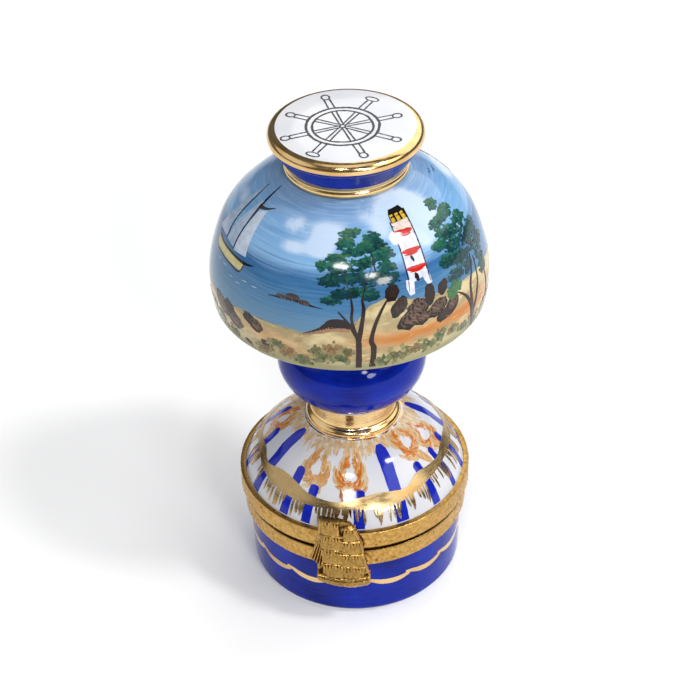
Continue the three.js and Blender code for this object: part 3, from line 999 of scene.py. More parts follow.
def bowl_line():
    """A gold scalloped line, each stroke starting thin above the end of the one before."""
    paint = Paint(Turned(BOWL_WALL), lift=0.02)
    scallops = 16
    pitch = 360 / scallops
    for k in range(scallops):
        a = -9.5 + k * pitch
        rise = random.uniform(-0.15, 0.15)
        path = [(a - 1.8, 9.0), (a + 2, 8.55 + rise), (a + 7, 7.95 + rise), (a + 13, 7.75),
                (a + 18.5, 7.95), (a + pitch + 0.5, 8.45)]
        widths = [0.3, 0.85, 1.2, 1.3, 1.1, 0.75]
        paint.stroke(path, widths, PLAIN, swell=0.02, steps=28, wobble=0.05)
    paint.piece("bowl_gold_line", "box_base", "cobalt_glaze", GILT)


# The garland round the shoulder, as (angle, lower edge, upper edge) knots.
GARLAND = [
    (-180, 27.2, 29.0), (-165, 27.5, 28.6), (-150, 26.9, 28.4), (-132, 27.0, 29.2), (-115, 27.6, 29.5),
    (-100, 27.9, 28.8), (-88, 27.8, 28.6), (-73, 27.9, 29.2), (-60, 27.3, 28.5), (-46, 26.9, 29.3),
    (-34, 26.7, 29.1), (-22, 26.6, 28.2), (-10, 26.7, 27.8), (-1, 26.9, 27.8), (8, 26.8, 28.4),
    (20, 26.6, 28.8), (30, 26.7, 28.6), (39, 27.1, 28.4), (50, 27.6, 29.5), (60, 27.9, 29.3),
    (72, 28.1, 29.1), (84, 28.0, 29.5), (95, 27.7, 29.3), (108, 27.5, 28.7), (122, 26.9, 28.9),
    (138, 26.8, 28.5), (152, 27.2, 28.9), (166, 27.4, 29.3), (180, 27.2, 29.0),
]


# Long gold strokes that run down to the clasp, as (angle, lower end, width in mm).
CLASP_FRINGE = [(-9.2, 24.6, 0.5), (-7.0, 24.2, 0.6), (-4.9, 25.0, 0.45), (-2.8, 24.4, 0.55),
                (1.6, 24.8, 0.5)]


def fringe(paint, lower):
    """Tassels of gold strokes that hang below the garland."""
    source = random.Random(21)
    spacing, overlap = 2.2, 0.4
    angle = -180.0
    while angle < 180:
        tassel = source.choice((2, 3, 3, 4))
        for k in range(tassel):
            a = angle + spacing * k
            start = lower(a) + overlap
            stop = max(start - source.uniform(1.4, 3.8), 23.6)
            drift = source.uniform(-1.4, 0.8) + (tassel / 2 - k) * 0.5
            width = source.uniform(0.26, 0.6)
            paint.stroke([(a, start), (a + drift * 0.4, (start + stop) / 2), (a + drift, stop)],
                         [width * 0.7, width, width * 1.1, width, 0.1], PLAIN, swell=0.02, steps=8)
        angle += spacing * tassel + source.uniform(0.5, 5.0)
    for a, stop, width in CLASP_FRINGE:
        paint.stroke([(a, lower(a) + overlap), (a - 0.5, 26.0), (a - 1.0, stop)],
                     [width * 0.8, width, width, 0.15], PLAIN, swell=0.02, steps=8)


def garland():
    knots = np.array(GARLAND, float)
    paint = Paint(Turned(SHOULDER_WALL), lift=0.09, rise=0.0004)

    def edge(column):
        line = np.array(smooth(knots[:, (0, column)], 280))
        return lambda a: float(np.interp(a, line[:, 0], line[:, 1]))

    lower, upper = edge(1), edge(2)
    band(paint, lower, upper, rows=6)
    fringe(paint, lower)
    paint.piece("garland_gilding", "lid", "white_glaze", GARLAND_GILT)


# ---- painting on the shoulder ----

STRIPE_BLUE = rgb(16, 34, 162)
# Blue stripes, as (angle, top height, width in mm, lean in degrees).
STRIPES = [
    (-97, 33.8, 1.7, 3), (-76, 32.4, 1.9, 2), (-55, 34.9, 2.4, 3), (-32.5, 31.4, 2.0, 1),
    (-19, 29.6, 1.9, 1), (9.5, 29.5, 2.2, 1), (31.8, 34.7, 2.6, 0), (53, 30.9, 1.9, -1),
    (71, 31.0, 1.4, 0), (88, 31.0, 1.7, 1), (107, 35.1, 2.2, 2), (129, 31.2, 1.9, 1),
    (149, 29.6, 2.0, 0), (178, 29.5, 2.1, -1), (200, 34.6, 2.4, -2), (222, 31.2, 2.0, 0),
    (243, 31.0, 1.7, 1),
]
# Feathered plumes, as (angle, middle height, half-width, half-length, strength of colour, tail angle).
PLUMES = [
    (-22, 31.9, 2.2, 3.5, 0.35, 6), (4, 31.8, 2.4, 3.6, 0.85, -5), (58, 33.6, 2.5, 3.0, 0.9, 8),
    (79, 32.6, 2.6, 3.4, 1.1, 5), (-86, 33.0, 2.4, 3.3, 0.8, 6), (-108, 32.2, 2.3, 3.4, 0.8, -6),
    (158, 32.0, 2.4, 3.6, 0.8, 6), (189, 32.0, 2.4, 3.6, 0.7, -6), (-130, 32.2, 2.2, 3.4, 0.5, 4),
]
# Layers of strokes in a plume, as (count, innermost, outermost, width, depth of orange, depth of wash).
PLUME_LAYERS = [(64, 0.5, 1.3, 0.9, 0.15, 0.65), (60, 0.45, 1.15, 0.6, 0.7, 1.05),
                (50, 0.5, 1.08, 0.45, 1.4, 1.15)]
# Dark marks above the clasp, as (angle, height, slant in degrees, width).
DARK_MARKS = [(3.2, 27.6, 1.2, 0.55), (5.4, 26.8, 1.4, 0.3), (-3.6, 26.6, 0.8, 0.3), (7.2, 26.9, 1.0, 0.25)]
# the shoulder's white with its painted shade, which the washes are laid over
SHADED_GLAZE_WHITE = rgb(202, 202, 207)
TAN = rgb(192, 146, 84)
ORANGE = rgb(184, 88, 10)


def blend(a, b, share):
    return tuple(x * (1 - share) + y * share for x, y in zip(a, b))


def wash(colour, depth):
    """A clear colour laid thinly over the white glaze, full at a depth of 1."""
    return tuple(w * (c / w) ** depth for w, c in zip(SHADED_GLAZE_WHITE, colour))


def stripes(paint):
    tip = [0.35, 0.9, 1.0, 1.0, 0.97, 1.0, 1.0, 1.0]
    for angle, top_z, width, lean in STRIPES:
        path = [(angle, top_z), (angle - lean * 0.4, (top_z + 27) / 2), (angle - lean, 23.35)]
        widths = [width * t for t in tip]
        paint.stroke(path, widths, vary(STRIPE_BLUE, 0.08), swell=0.015, steps=24, wobble=0.03)


def halo(paint, source):
    """The thin tan wash round the neck, in many short soft strokes."""
    for _ in range(620):
        a = source.uniform(-180, 180)
        start, length = source.uniform(34.4, 35.6), source.uniform(0.3, 1.3)
        depth = source.uniform(0.5, 1.0) * (1 - 0.4 * length)
        tint = vary(wash(blend(TAN, ORANGE, source.uniform(0, 0.2)), depth), 0.03)
        run = [(a, start), (a + source.uniform(-3, 3), start - length)]
        paint.stroke(run, [0.3, 0.6, 0.1], tint, steps=4)


def feather(paint, angle, z, wide, long, around, away, sweep, width, tint):
    """One curved stroke of a ring, which starts at some way round it and falls to either side."""
    surface = paint.surface
    sweep = -sweep if math.cos(around) > 0 else sweep
    s = float(surface.along(z))
    run = []
    for t in (0, 0.5, 1):
        phi = around + sweep * t
        ring = away * (1 + 0.12 * math.sin(3 * phi + angle)) + (0.16 - 0.34 * t) * (away > 0.8)
        a, at = surface.offset(angle, s, wide * ring * math.cos(phi), long * ring * math.sin(phi))
        run.append((float(a), float(np.interp(at, surface.s, surface.z))))
    paint.stroke(run, [0.1, width, width * 0.8, 0.08], tint, steps=7)


def plume(paint, source, angle, z, wide, long, strength, tail):
    """A ring of curved feather strokes round a white heart, with a thin tail down to the garland."""
    for count, near, far, width, deep, share in PLUME_LAYERS:
        for _ in range(count):
            colour = blend(TAN, ORANGE, min(1, strength * deep * source.uniform(0.35, 1.1)))
            tint = vary(wash(colour, share * source.uniform(0.5, 1.0)), 0.05)
            around, away = source.uniform(0, 2 * math.pi), source.uniform(near, far)
            sweep, thick = source.uniform(0.3, 0.8), source.uniform(0.6, 1.1) * width
            feather(paint, angle, z, wide, long, around, away, sweep, thick, tint)
    for _ in range(14):
        shift = source.uniform(-2.6, 2.6)
        start = z - 0.5 * long + source.uniform(-0.5, 0.6)
        run = [(angle + shift, start), (angle + tail * 0.6 + shift, (start + 28.6) / 2),
               (angle + tail + 0.5 * shift, source.uniform(27.8, 29.8))]
        colour = blend(TAN, ORANGE, strength * source.uniform(0, 0.9))
        paint.stroke(run, [0.15, 0.55, 0.4, 0.1], wash(colour, source.uniform(0.3, 0.9)), steps=6)


def shoulder_painting():
    paint = Paint(Turned(SHOULDER_WALL), lift=0.012, rise=0.00008)
    source = random.Random(31)
    halo(paint, source)
    for settings in PLUMES:
        plume(paint, source, *settings)
    for a0, z0, a1, z1, width in ((-2.5, 29.6, -0.5, 27.6, 0.9), (0.5, 28.4, 2.5, 26.8, 0.7)):
        paint.stroke([(a0, z0), (a1, z1)], [0.1, width, 0.15], rgb(150, 84, 40), steps=8)
    for a, z, slant, width in DARK_MARKS:
        paint.stroke([(a, z), (a + slant, z - 2.2)], [0.1, width, 0.1], rgb(56, 30, 22), steps=8)
    paint.piece("shoulder_painting", "lid", "white_glaze", ENAMEL)
    blue = Paint(Turned(SHOULDER_WALL), lift=0.05, rise=0.0002)
    stripes(blue)
    blue.piece("shoulder_stripes", "lid", "white_glaze", ENAMEL)


# ---- painting on the shade ----

BARK = rgb(44, 28, 24)
BLACK = rgb(18, 16, 20)
LEAF = rgb(38, 98, 78)
LEAF_DARK = rgb(14, 46, 40)
LEAF_BLUE = rgb(20, 58, 74)
LEAF_LIME = rgb(66, 104, 60)
ROCK = rgb(34, 24, 24)
ROCK_LIGHT = rgb(126, 98, 80)
OLIVE = rgb(70, 94, 50)
UMBER = rgb(124, 74, 38)
# Leaf clumps of each tree, as (angle, height, half-width, half-height in mm, darkness).
NEAR_TREE = [
    (8.0, 88.9, 1.6, 0.6, 0.1), (4.7, 87.7, 1.5, 0.9, 0.2), (9.2, 86.6, 1.8, 0.6, 0.4),
    (20, 88.1, 1.5, 0.9, 0.4), (21.5, 86.9, 1.7, 1.1, 0.8), (15.5, 87.2, 1.2, 0.8, 0.3),
    (24.5, 86.0, 1.6, 0.8, 0.3), (1.6, 85.8, 2.2, 0.7, 0.2), (-3.4, 84.8, 2.0, 0.6, 0.1),
    (9, 85.0, 2.2, 0.9, 0.5), (19, 85.3, 2.4, 1.0, 0.5), (24.2, 84.2, 1.6, 0.7, 0.4),
    (2.5, 83.6, 2.6, 0.8, 0.8), (-2.2, 82.7, 1.8, 0.6, 0.9), (10.4, 83.3, 2.4, 0.9, 0.7),
    (17, 83.0, 2.3, 0.9, 0.8), (24.6, 82.5, 1.8, 0.8, 0.9), (4.7, 80.9, 2.4, 0.8, 0.9),
    (-1, 79.7, 1.5, 0.5, 0.7), (11.6, 81.2, 2.0, 0.6, 0.8), (15, 80.3, 1.5, 0.5, 0.7),
]
FAR_TREE = [
    (68, 88.9, 1.2, 0.8, 0.1), (72.5, 87.3, 1.5, 1.0, 0.1), (66, 87.0, 1.4, 0.7, 0.3),
    (60, 87.0, 1.5, 0.7, 0.2), (76, 85.3, 1.9, 1.0, 0.3), (60, 85.5, 1.6, 0.9, 0.3),
    (66, 84.9, 1.9, 1.0, 0.4), (54, 84.4, 1.4, 0.7, 0.2), (62, 83.3, 2.0, 1.0, 0.6),
    (73, 83.1, 2.2, 1.1, 0.7), (81, 83.0, 1.7, 1.0, 0.6), (71, 80.9, 2.5, 1.2, 0.9),
    (62, 81.0, 2.0, 1.0, 0.8), (54.5, 81.7, 1.5, 0.9, 0.5), (65, 78.6, 1.9, 0.9, 0.9),
    (57, 78.9, 1.7, 0.8, 0.8), (77.5, 78.2, 2.0, 1.4, 0.8), (82, 80.4, 1.8, 1.2, 0.9),
    (78, 75.8, 1.4, 1.0, 0.7), (56, 76.9, 1.2, 0.8, -0.6), (52.6, 76.1, 0.9, 0.8, -0.6),
]
BACK_TREE = [(a + 134, z - 0.4, w, h, d) for a, z, w, h, d in NEAR_TREE]
LEFT_BACK_TREE = [(a - 206, z - 1.0, w, h, d) for a, z, w, h, d in FAR_TREE]
# Rocks, as (angle, height, half-width, half-height in mm, turn, lightness).
ROCKS = [
    (24.6, 80.2, 0.9, 1.25, -25, 0.1), (27, 77.6, 1.5, 0.95, 50, 0.2), (35.2, 76.4, 1.6, 1.3, 10, 0.55),
    (31.2, 74.9, 1.9, 1.3, 30, 0.7), (36.3, 74.3, 1.3, 0.9, 10, 0.5), (41.3, 78.0, 0.8, 1.5, -10, 0.05),
    (48.4, 78.2, 1.1, 0.8, 45, 0.1), (43.8, 75.0, 1.9, 1.0, 20, 0.6), (51.2, 74.1, 1.6, 0.95, 35, 0.6),
    (46.6, 73.1, 1.2, 0.8, 20, 0.2), (-56, 71.2, 2.0, 1.2, -30, 0.7), (-49.5, 71.9, 1.4, 0.9, -25, 0.2),
    (-46, 70.2, 1.8, 1.2, -20, 0.8), (-37, 72.4, 1.2, 0.8, -25, 0.2), (-33.5, 71.8, 1.2, 0.9, -25, 0.7),
    (-39, 66.9, 0.6, 0.35, -20, 0.2), (-29, 68.7, 0.8, 0.5, -15, 0.2), (112, 75.6, 1.6, 1.0, 20, 0.4),
    (117, 74.2, 1.9, 1.1, 10, 0.6), (123, 74.9, 1.0, 1.2, 0, 0.1), (160, 76.0, 1.4, 0.9, -15, 0.3),
    (165, 75.0, 1.9, 1.1, 15, 0.6), (-165, 75.2, 1.6, 1.0, 25, 0.4), (-100, 72.6, 1.5, 0.9, 30, 0.3),
    (-95, 71.6, 1.8, 1.0, 10, 0.6), (-128, 74.0, 1.3, 0.8, -20, 0.2),
]
# Bushes along the lower edge, as (angle, height, half-width in mm, brownness).
BUSHES = [
    (-75, 67.6, 1.5, 0.2), (-66, 68.2, 1.2, 0.6), (-58, 67.4, 1.6, 0.1), (-47, 67.0, 1.3, 0.3),
    (-30, 67.2, 1.5, 0.5), (-23.5, 69.4, 1.3, 0.0), (-19, 68.4, 1.5, 0.9), (-12.5, 67.1, 1.7, 0.0),
    (-7, 69.8, 1.2, 0.1), (-4.5, 68.5, 1.4, 0.2), (-0.6, 70.4, 1.4, 0.9), (2.8, 68.3, 1.9, 0.0),
    (5.6, 70.0, 0.9, 0.3), (20, 67.1, 1.7, 0.0), (24, 67.9, 1.2, 0.1), (29, 68.3, 1.5, 0.1),
    (33, 68.4, 1.2, 0.5), (38.5, 68.2, 1.7, 0.0), (44.5, 69.3, 1.5, 0.0), (51.5, 68.9, 1.1, 0.3),
    (58, 67.6, 1.4, 0.0), (66, 67.0, 1.6, 0.2), (78, 67.6, 1.7, 0.0), (90, 67.2, 1.6, 0.4),
    (101, 68.3, 1.5, 0.0), (113, 67.4, 1.8, 0.2), (126, 68.6, 1.4, 0.0), (138, 67.3, 1.7, 0.5),
    (150, 68.4, 1.5, 0.0), (163, 67.2, 1.7, 0.1), (175, 68.6, 1.4, 0.4), (-172, 67.3, 1.7, 0.0),
    (-160, 68.4, 1.4, 0.2), (-148, 67.3, 1.7, 0.0), (-136, 68.7, 1.3, 0.6), (-124, 67.4, 1.7, 0.0),
    (-112, 68.3, 1.5, 0.1), (-100, 67.3, 1.7, 0.4), (-88, 68.0, 1.4, 0.0),
]


def leaf_tint(darkness, source):
    if darkness < 0:
        return blend(LEAF, LEAF_LIME, source.uniform(0.4, 1.0))
    deep = blend(LEAF_DARK, LEAF_BLUE, source.uniform(0, 1))
    return blend(LEAF, deep, min(1.0, max(0.0, darkness + source.uniform(-0.35, 0.3))))


def foliage(paint, clumps, source):
    """Small level dabs over darker ones, thick in the middle of each clump and loose at its edge."""
    dabs, dark_dabs = 46, 16
    for angle, z, wide, high, darkness in clumps:
        s = float(paint.surface.along(z))
        for k in range(dabs):
            spread, turn = 1.22 * math.sqrt(source.random()), source.uniform(0, 2 * math.pi)
            under = k < dark_dabs
            if under:
                spread *= 0.75
            right, rise = wide * spread * math.cos(turn), 1.2 * high * spread * math.sin(turn)
            a, at = paint.surface.offset(angle, s, right, rise)
            here = float(np.interp(at, paint.surface.s, paint.surface.z))
            size = source.uniform(0.4, 0.62) if under else source.uniform(0.16, 0.42)
            shaded = darkness
            if darkness >= 0:
                shaded += 0.45 * under - 0.34 * math.sin(turn) * spread
            paint.dab(float(a), here, size * 1.2, size * 0.7, vary(leaf_tint(shaded, source), 0.15),
                      turn=source.uniform(-35, 35), wobble=0.25, sides=8)


def trunks(paint, lines):
    for run, widths in lines:
        paint.stroke(run, widths, vary(BARK, 0.15), swell=0.02, steps=18, wobble=0.08)


def near_trunks(shift=0.0, fall=0.0):
    """Two forked trunks, as runs from the ground up with their widths."""
    runs = [([(9.6, 66.1), (9.8, 69.5), (9.7, 72.5), (8.4, 73.9), (6.0, 75.7), (2.0, 77.8)],
             [1.15, 1.0, 0.95, 0.75, 0.5, 0.15]),
            ([(8.6, 73.7), (7.3, 76.4), (7.7, 78.2), (7.3, 80.0)], [0.7, 0.5, 0.45, 0.25]),
            ([(9.8, 72.2), (11.4, 75.8), (12.3, 78.1), (11.7, 79.8)], [0.9, 0.75, 0.6, 0.3]),
            ([(15.0, 66.1), (15.6, 70.5), (14.7, 72.2), (16.5, 75.1), (19.4, 77.5), (22.2, 79.2)],
             [1.15, 1.0, 0.85, 0.65, 0.5, 0.25]),
            ([(7.4, 79.8), (6.0, 82.0), (4.0, 84.0)], [0.22, 0.14, 0.08]),
            ([(11.8, 79.6), (14.0, 82.4), (18.0, 85.0)], [0.22, 0.16, 0.08]),
            ([(19.0, 83.4), (18.4, 84.9), (17.8, 86.0)], [0.2, 0.25, 0.1])]
    return [(shifted(run, shift, fall), widths) for run, widths in runs]


def far_trunks(shift=0.0, fall=0.0):
    runs = [([(65.5, 66.1), (64.0, 70.3), (60.8, 73.6), (56.0, 75.6)], [1.3, 1.0, 0.6, 0.2]),
            ([(64.3, 69.5), (64.4, 74.6), (68.0, 77.4), (70.0, 80.0)], [0.9, 0.6, 0.4, 0.15]),
            ([(65.0, 69.0), (68.5, 72.4), (71.0, 75.0), (72.0, 79.0)], [0.8, 0.55, 0.4, 0.15]),
            ([(79.7, 66.6), (79.3, 72.0), (78.4, 76.0)], [0.55, 0.4, 0.15]),
            ([(62.0, 83.0), (60.5, 84.6), (58.5, 86.0)], [0.1, 0.16, 0.06]),
            ([(72.0, 81.5), (70.6, 83.4), (69.4, 85.6)], [0.1, 0.18, 0.06]),
            ([(76.0, 82.0), (74.8, 84.0), (74.2, 86.0)], [0.1, 0.18, 0.06])]
    return [(shifted(run, shift, fall), widths) for run, widths in runs]


def headland(paint, shift=0.0):
    """A low dark point that runs out into the water, brown underneath."""
    foot = [(-12, 73.0), (-5.5, 73.9), (0.5, 74.6), (6.5, 74.3)]
    ridge = [(-12, 73.2), (-5.5, 74.4), (-1.0, 75.5), (3.5, 75.6), (6.6, 74.8)]
    paint.stroke(shifted(foot, shift), [0.25, 0.7, 1.0, 0.7], rgb(150, 112, 84), steps=16, wobble=0.1)
    paint.stroke(shifted(ridge, shift), [0.12, 0.55, 1.7, 1.7, 0.6], ROCK, steps=18, wobble=0.1)


def islets(paint, shift=0.0):
    base = [(-28.9, 78.5), (-24, 78.75), (-17, 78.9), (-12, 78.6), (-4.4, 78.15)]
    widths = [0.1, 0.4, 0.5, 0.42, 0.08]
    paint.stroke(shifted(base, shift), widths, vary(ROCK, 0.1), steps=18, wobble=0.15)
    for a, z, wide, high in ((-22.3, 79.0, 1.1, 0.4), (-17.3, 79.3, 1.5, 0.75), (-12.2, 78.8, 1.2, 0.5)):
        paint.dab(a + shift, z, wide, high, ROCK, tint_low=rgb(104, 96, 98), turn=-6)


def lighthouse(paint):
    """A white tower on splayed feet with red bands, a yellow lantern and a black cap."""
    white = rgb(206, 208, 222)
    left = [(33.6, 80.9), (33.3, 84.6), (34.2, 89.2)]
    right = [(42.6, 81.6), (43.4, 84.7), (46.0, 89.3)]
    paint.patch(left, right, white, steps=16, cols=7)
    paint.patch([(33.6, 88.0), (34.0, 89.3)], [(45.2, 88.0), (46.0, 89.3)], rgb(214, 198, 184), steps=6)
    paint.stroke([(33.5, 81.6), (33.2, 80.4), (33.6, 79.0)], [1.5, 1.6, 0.9], white, steps=8)
    paint.stroke([(41.2, 82.2), (41.9, 80.9), (42.8, 79.8)], [1.4, 1.4, 0.9], white, steps=8)
    red = rgb(190, 34, 22)
    for a0, z0, a1, z1 in ((33.5, 88.15, 44.6, 87.95), (33.2, 85.65, 43.6, 85.5), (33.3, 83.2, 43.2, 83.05)):
        middle = ((a0 + a1) / 2, (z0 + z1) / 2 - 0.12)
        widths = [0.35, 0.85, 0.95, 0.9, 0.35]
        paint.stroke([(a0, z0), middle, (a1, z1)], widths, red, swell=0.03, steps=14, wobble=0.1)
        below = [(a0 + 1.2, z0 - 0.5), (middle[0], middle[1] - 0.45), (a1 - 2, z1 - 0.4)]
        paint.stroke(below, [0.2, 0.3, 0.2], vary(red, 0.1), steps=8)
        paint.stroke([(a0 + 4.5, z0 + 0.05), (a1 - 2.5, z1 + 0.12)], [0.05, 0.2, 0.05], white, steps=6)
    for a, z, wide, high in ((37.6, 84.45, 0.3, 0.6), (37.1, 81.7, 0.42, 0.9)):
        paint.dab(a, z, wide, high, rgb(34, 24, 30), turn=12)
    right_edge = [(47.4, 90.2), (45.9, 88.8), (43.7, 84.7), (43.0, 81.8), (43.3, 80.2)]
    left_edge = [(34.0, 89.3), (33.0, 84.7), (32.8, 81.5), (32.3, 79.6)]
    paint.stroke(right_edge, [0.4, 0.36, 0.28, 0.2, 0.1], BLACK, steps=20)
    paint.stroke(left_edge, [0.5, 0.22, 0.16, 0.08], BLACK, steps=16)
    roof = [[(34.3, 89.15), (34.6, 90.0), (36.4, 90.55)], [(46.2, 89.25), (47.4, 90.0), (45.6, 90.65)]]
    paint.patch(*roof, BLACK, steps=8, cols=10)
    yellow = rgb(206, 166, 52)
    for a in (36.3, 40.3, 44.3):
        pane = [[(a - 1.45, 89.2), (a - 1.2, 90.0)], [(a + 1.35, 89.25), (a + 1.35, 90.05)]]
        paint.patch(*pane, yellow, steps=4, cols=4)


SAIL, SAIL_GREY = rgb(184, 196, 212), rgb(164, 180, 202)
CREAM = rgb(196, 184, 126)
FOAM = rgb(150, 176, 198)
# The boat's sails, as (colour, left edge, right edge).
BOAT_SAILS = [
    (SAIL_GREY, [(-76.5, 82.2), (-74.0, 85.8), (-71.4, 90.2)],
     [(-65.4, 82.5), (-67.6, 86.4), (-71.0, 90.3)]),
    (SAIL_GREY, [(-64.0, 82.4), (-64.0, 86.0), (-60.4, 89.3)],
     [(-56.6, 82.3), (-57.4, 86.0), (-59.2, 89.4)]),
    (SAIL, [(-55.4, 82.0), (-56.0, 85.4), (-56.0, 88.3)],
     [(-45.9, 82.4), (-48.2, 85.6), (-50.4, 88.9)])]
BOAT_HULL = [[(-71.6, 79.7), (-72.6, 81.1)], [(-46.4, 79.8), (-45.4, 81.2)]]
# The black lines of the boat, as (steps, widths, run): two masts and the pennant, then rail and keel.
BOAT_RIG = [
    (20, [0.16, 0.32, 0.34, 0.3, 0.2],
     [(-72.0, 90.5), (-68.6, 88.9), (-67.6, 86.6), (-66.3, 84.3), (-64.6, 82.4)]),
    (20, [0.14, 0.62, 0.4, 0.3, 0.2],
     [(-60.6, 91.4), (-58.2, 88.9), (-57.2, 87.0), (-56.7, 84.8), (-55.9, 82.0)]),
    (10, [0.85, 0.5, 0.06], [(-57.6, 88.7), (-52.0, 89.0), (-46.4, 89.6)])]
BOAT_EDGES = [
    (24, [0.2, 0.4, 0.45, 0.6, 0.08],
     [(-74.0, 82.0), (-68.0, 81.3), (-56.6, 81.35), (-46.0, 81.35), (-39.4, 81.85)]),
    (24, [0.15, 0.32, 0.3, 0.3, 0.2],
     [(-72.6, 80.0), (-68.0, 79.5), (-55.6, 79.5), (-47.4, 79.5), (-45.4, 81.3)])]


def sailboat(paint, shift=0.0, fall=0.0):
    """A ketch with white sails, a cream hull outlined in black and a black pennant."""

    def draw(lines):
        for steps, widths, run in lines:
            paint.stroke(shifted(run, shift, fall), widths, BLACK, steps=steps)

    for colour, left, right in BOAT_SAILS:
        paint.patch(shifted(left, shift, fall), shifted(right, shift, fall), colour)
    draw(BOAT_RIG)
    paint.patch(*[shifted(edge, shift, fall) for edge in BOAT_HULL], CREAM, cols=16)
    draw(BOAT_EDGES)
    for a, z in ((-66, 78.3), (-60, 78.5), (-53, 77.7), (-48, 77.5), (-44, 78.6), (-38, 78.6)):
        paint.stroke(shifted([(a, z), (a + 3, z + 0.12)], shift, fall), [0.08, 0.2, 0.06], FOAM, steps=5)


def bush(paint, angle, z, wide, brown, source):
    """A low shrub in blotted dabs, thin over the sand at its edge and dark at its heart."""
    s = float(paint.surface.along(z))
    dabs, large_dabs = 34, 14
    for k in range(dabs):
        right, up = source.gauss(0, 0.6) * wide, source.gauss(0, 0.42) * wide
        a, at = paint.surface.offset(angle, s, right, up)
        here = max(66.1, float(np.interp(at, paint.surface.s, paint.surface.z)))
        green = blend(OLIVE, rgb(24, 58, 32), source.random())
        tint = blend(green, UMBER, min(1, max(0, brown + source.uniform(-0.25, 0.25))))
        thin = min(0.6, 0.5 * math.hypot(right, up) / wide * (1.2 - k / dabs))
        size = source.uniform(0.3, 0.62) if k < large_dabs else source.uniform(0.16, 0.4)
        paint.dab(float(a), here, size * 0.9, size * 1.05, vary(blend(tint, rgb(170, 158, 112), thin), 0.12),
                  turn=source.uniform(-40, 40), wobble=0.25, sides=8)


def beach_strokes(paint, source):
    """Dry brush marks on the sand."""
    for _ in range(150):
        a, z = source.uniform(-180, 180), source.uniform(67.2, 75.0)
        shore = float(np.interp(a, *np.array(SHORE, float).T))
        if z > shore - 1.2:
            continue
        tint = source.choice((rgb(204, 144, 76), rgb(212, 196, 152), rgb(176, 124, 76), rgb(208, 168, 108)))
        tilt = source.uniform(-0.2, 0.5)
        length = source.uniform(2.5, 6.0)
        paint.stroke([(a, z), (a + length / 2, z + tilt * 0.6), (a + length, z + tilt)], [0.05, 0.28, 0.06],
                     vary(tint, 0.05), steps=6)


def shore_line(paint, source):
    """A thin dark wet edge where the sand meets the water."""
    knots = np.array(smooth(SHORE, 240))
    for k in range(0, 236, 4):
        if source.random() < 0.3:
            continue
        run = [(float(a), float(z)) for a, z in knots[k:k + 5]]
        paint.stroke(run, [0.04, 0.14, 0.05], rgb(96, 104, 104), steps=8)


def gull(paint, angle, z):
    for side in (-1, 1):
        wing = [(angle, z), (angle + side * 2.0, z + 0.3), (angle + side * 3.8, z + 0.05)]
        paint.stroke(wing, [0.14, 0.16, 0.05], rgb(70, 82, 98), steps=8)


def rocks(paint, source):
    """Boulders with dark outlines, brown faces and a few strokes of shade and light."""
    for angle, z, wide, high, turn, light in ROCKS:
        wide, high = 1.4 * wide, 1.32 * high
        paint.dab(angle, z, wide, high, ROCK, turn=turn, wobble=0.12, sides=18)
        face = blend(ROCK, ROCK_LIGHT, light)
        under = blend(face, ROCK, 0.55)
        paint.dab(angle + 0.4, z + 0.1 * high, 0.82 * wide, 0.8 * high, face, turn=turn, tint_low=under,
                  wobble=0.16, sides=16)
        for _ in range(int(7 * light)):
            tint = blend(face, source.choice((ROCK, ROCK_LIGHT)), source.uniform(0.2, 0.6))
            a, rise = angle + source.uniform(-0.45, 0.3) * wide * 2.4, source.uniform(-0.4, 0.45) * high
            run = [(a, z + rise), (a + 1.6, z + rise - 0.25), (a + 2.6, z + rise - 0.7)]
            paint.stroke(run, [0.1, 0.34, 0.1], tint, steps=6)


def shade_painting():
    surface = Turned(SHADE_WALL)
    source = random.Random(41)
    ground = Paint(surface, lift=0.012, rise=0.00004)
    beach_strokes(ground, source)
    shore_line(ground, source)
    for shift in (0, 150):
        islets(ground, shift)
    for shift in (0, -170):
        headland(ground, shift)
    ground.piece("shade_beach_painting", "lid", "painted_glaze", ENAMEL)

    objects = Paint(surface, lift=0.03, rise=0.00008)
    sailboat(objects)
    sailboat(objects, shift=245, fall=0.6)
    lighthouse(objects)
    rocks(objects, source)
    for angle, z in ((100, 90.0), (106, 89.4), (-118, 89.6), (-124, 88.9)):
        gull(objects, angle, z)
    objects.piece("shade_scene_painting", "lid", "painted_glaze", ENAMEL)

    trees = Paint(surface, lift=0.05, rise=0.0001)
    for clumps in (NEAR_TREE, FAR_TREE, BACK_TREE, LEFT_BACK_TREE):
        foliage(trees, clumps, source)
    trunks(trees, near_trunks() + far_trunks() + near_trunks(134, 0.4) + far_trunks(-206, 1.0))
    for settings in BUSHES:
        bush(trees, *settings, source)
    trees.piece("shade_tree_painting", "lid", "painted_glaze", ENAMEL)


# ---- the ship's wheel on the cap ----

WHEEL = {"x": -0.5, "y": -0.4, "rim": 6.55, "inner": 5.45, "hub": 0.5, "tip": 10.9, "handle": 1.15,
         "turn": 21.0}


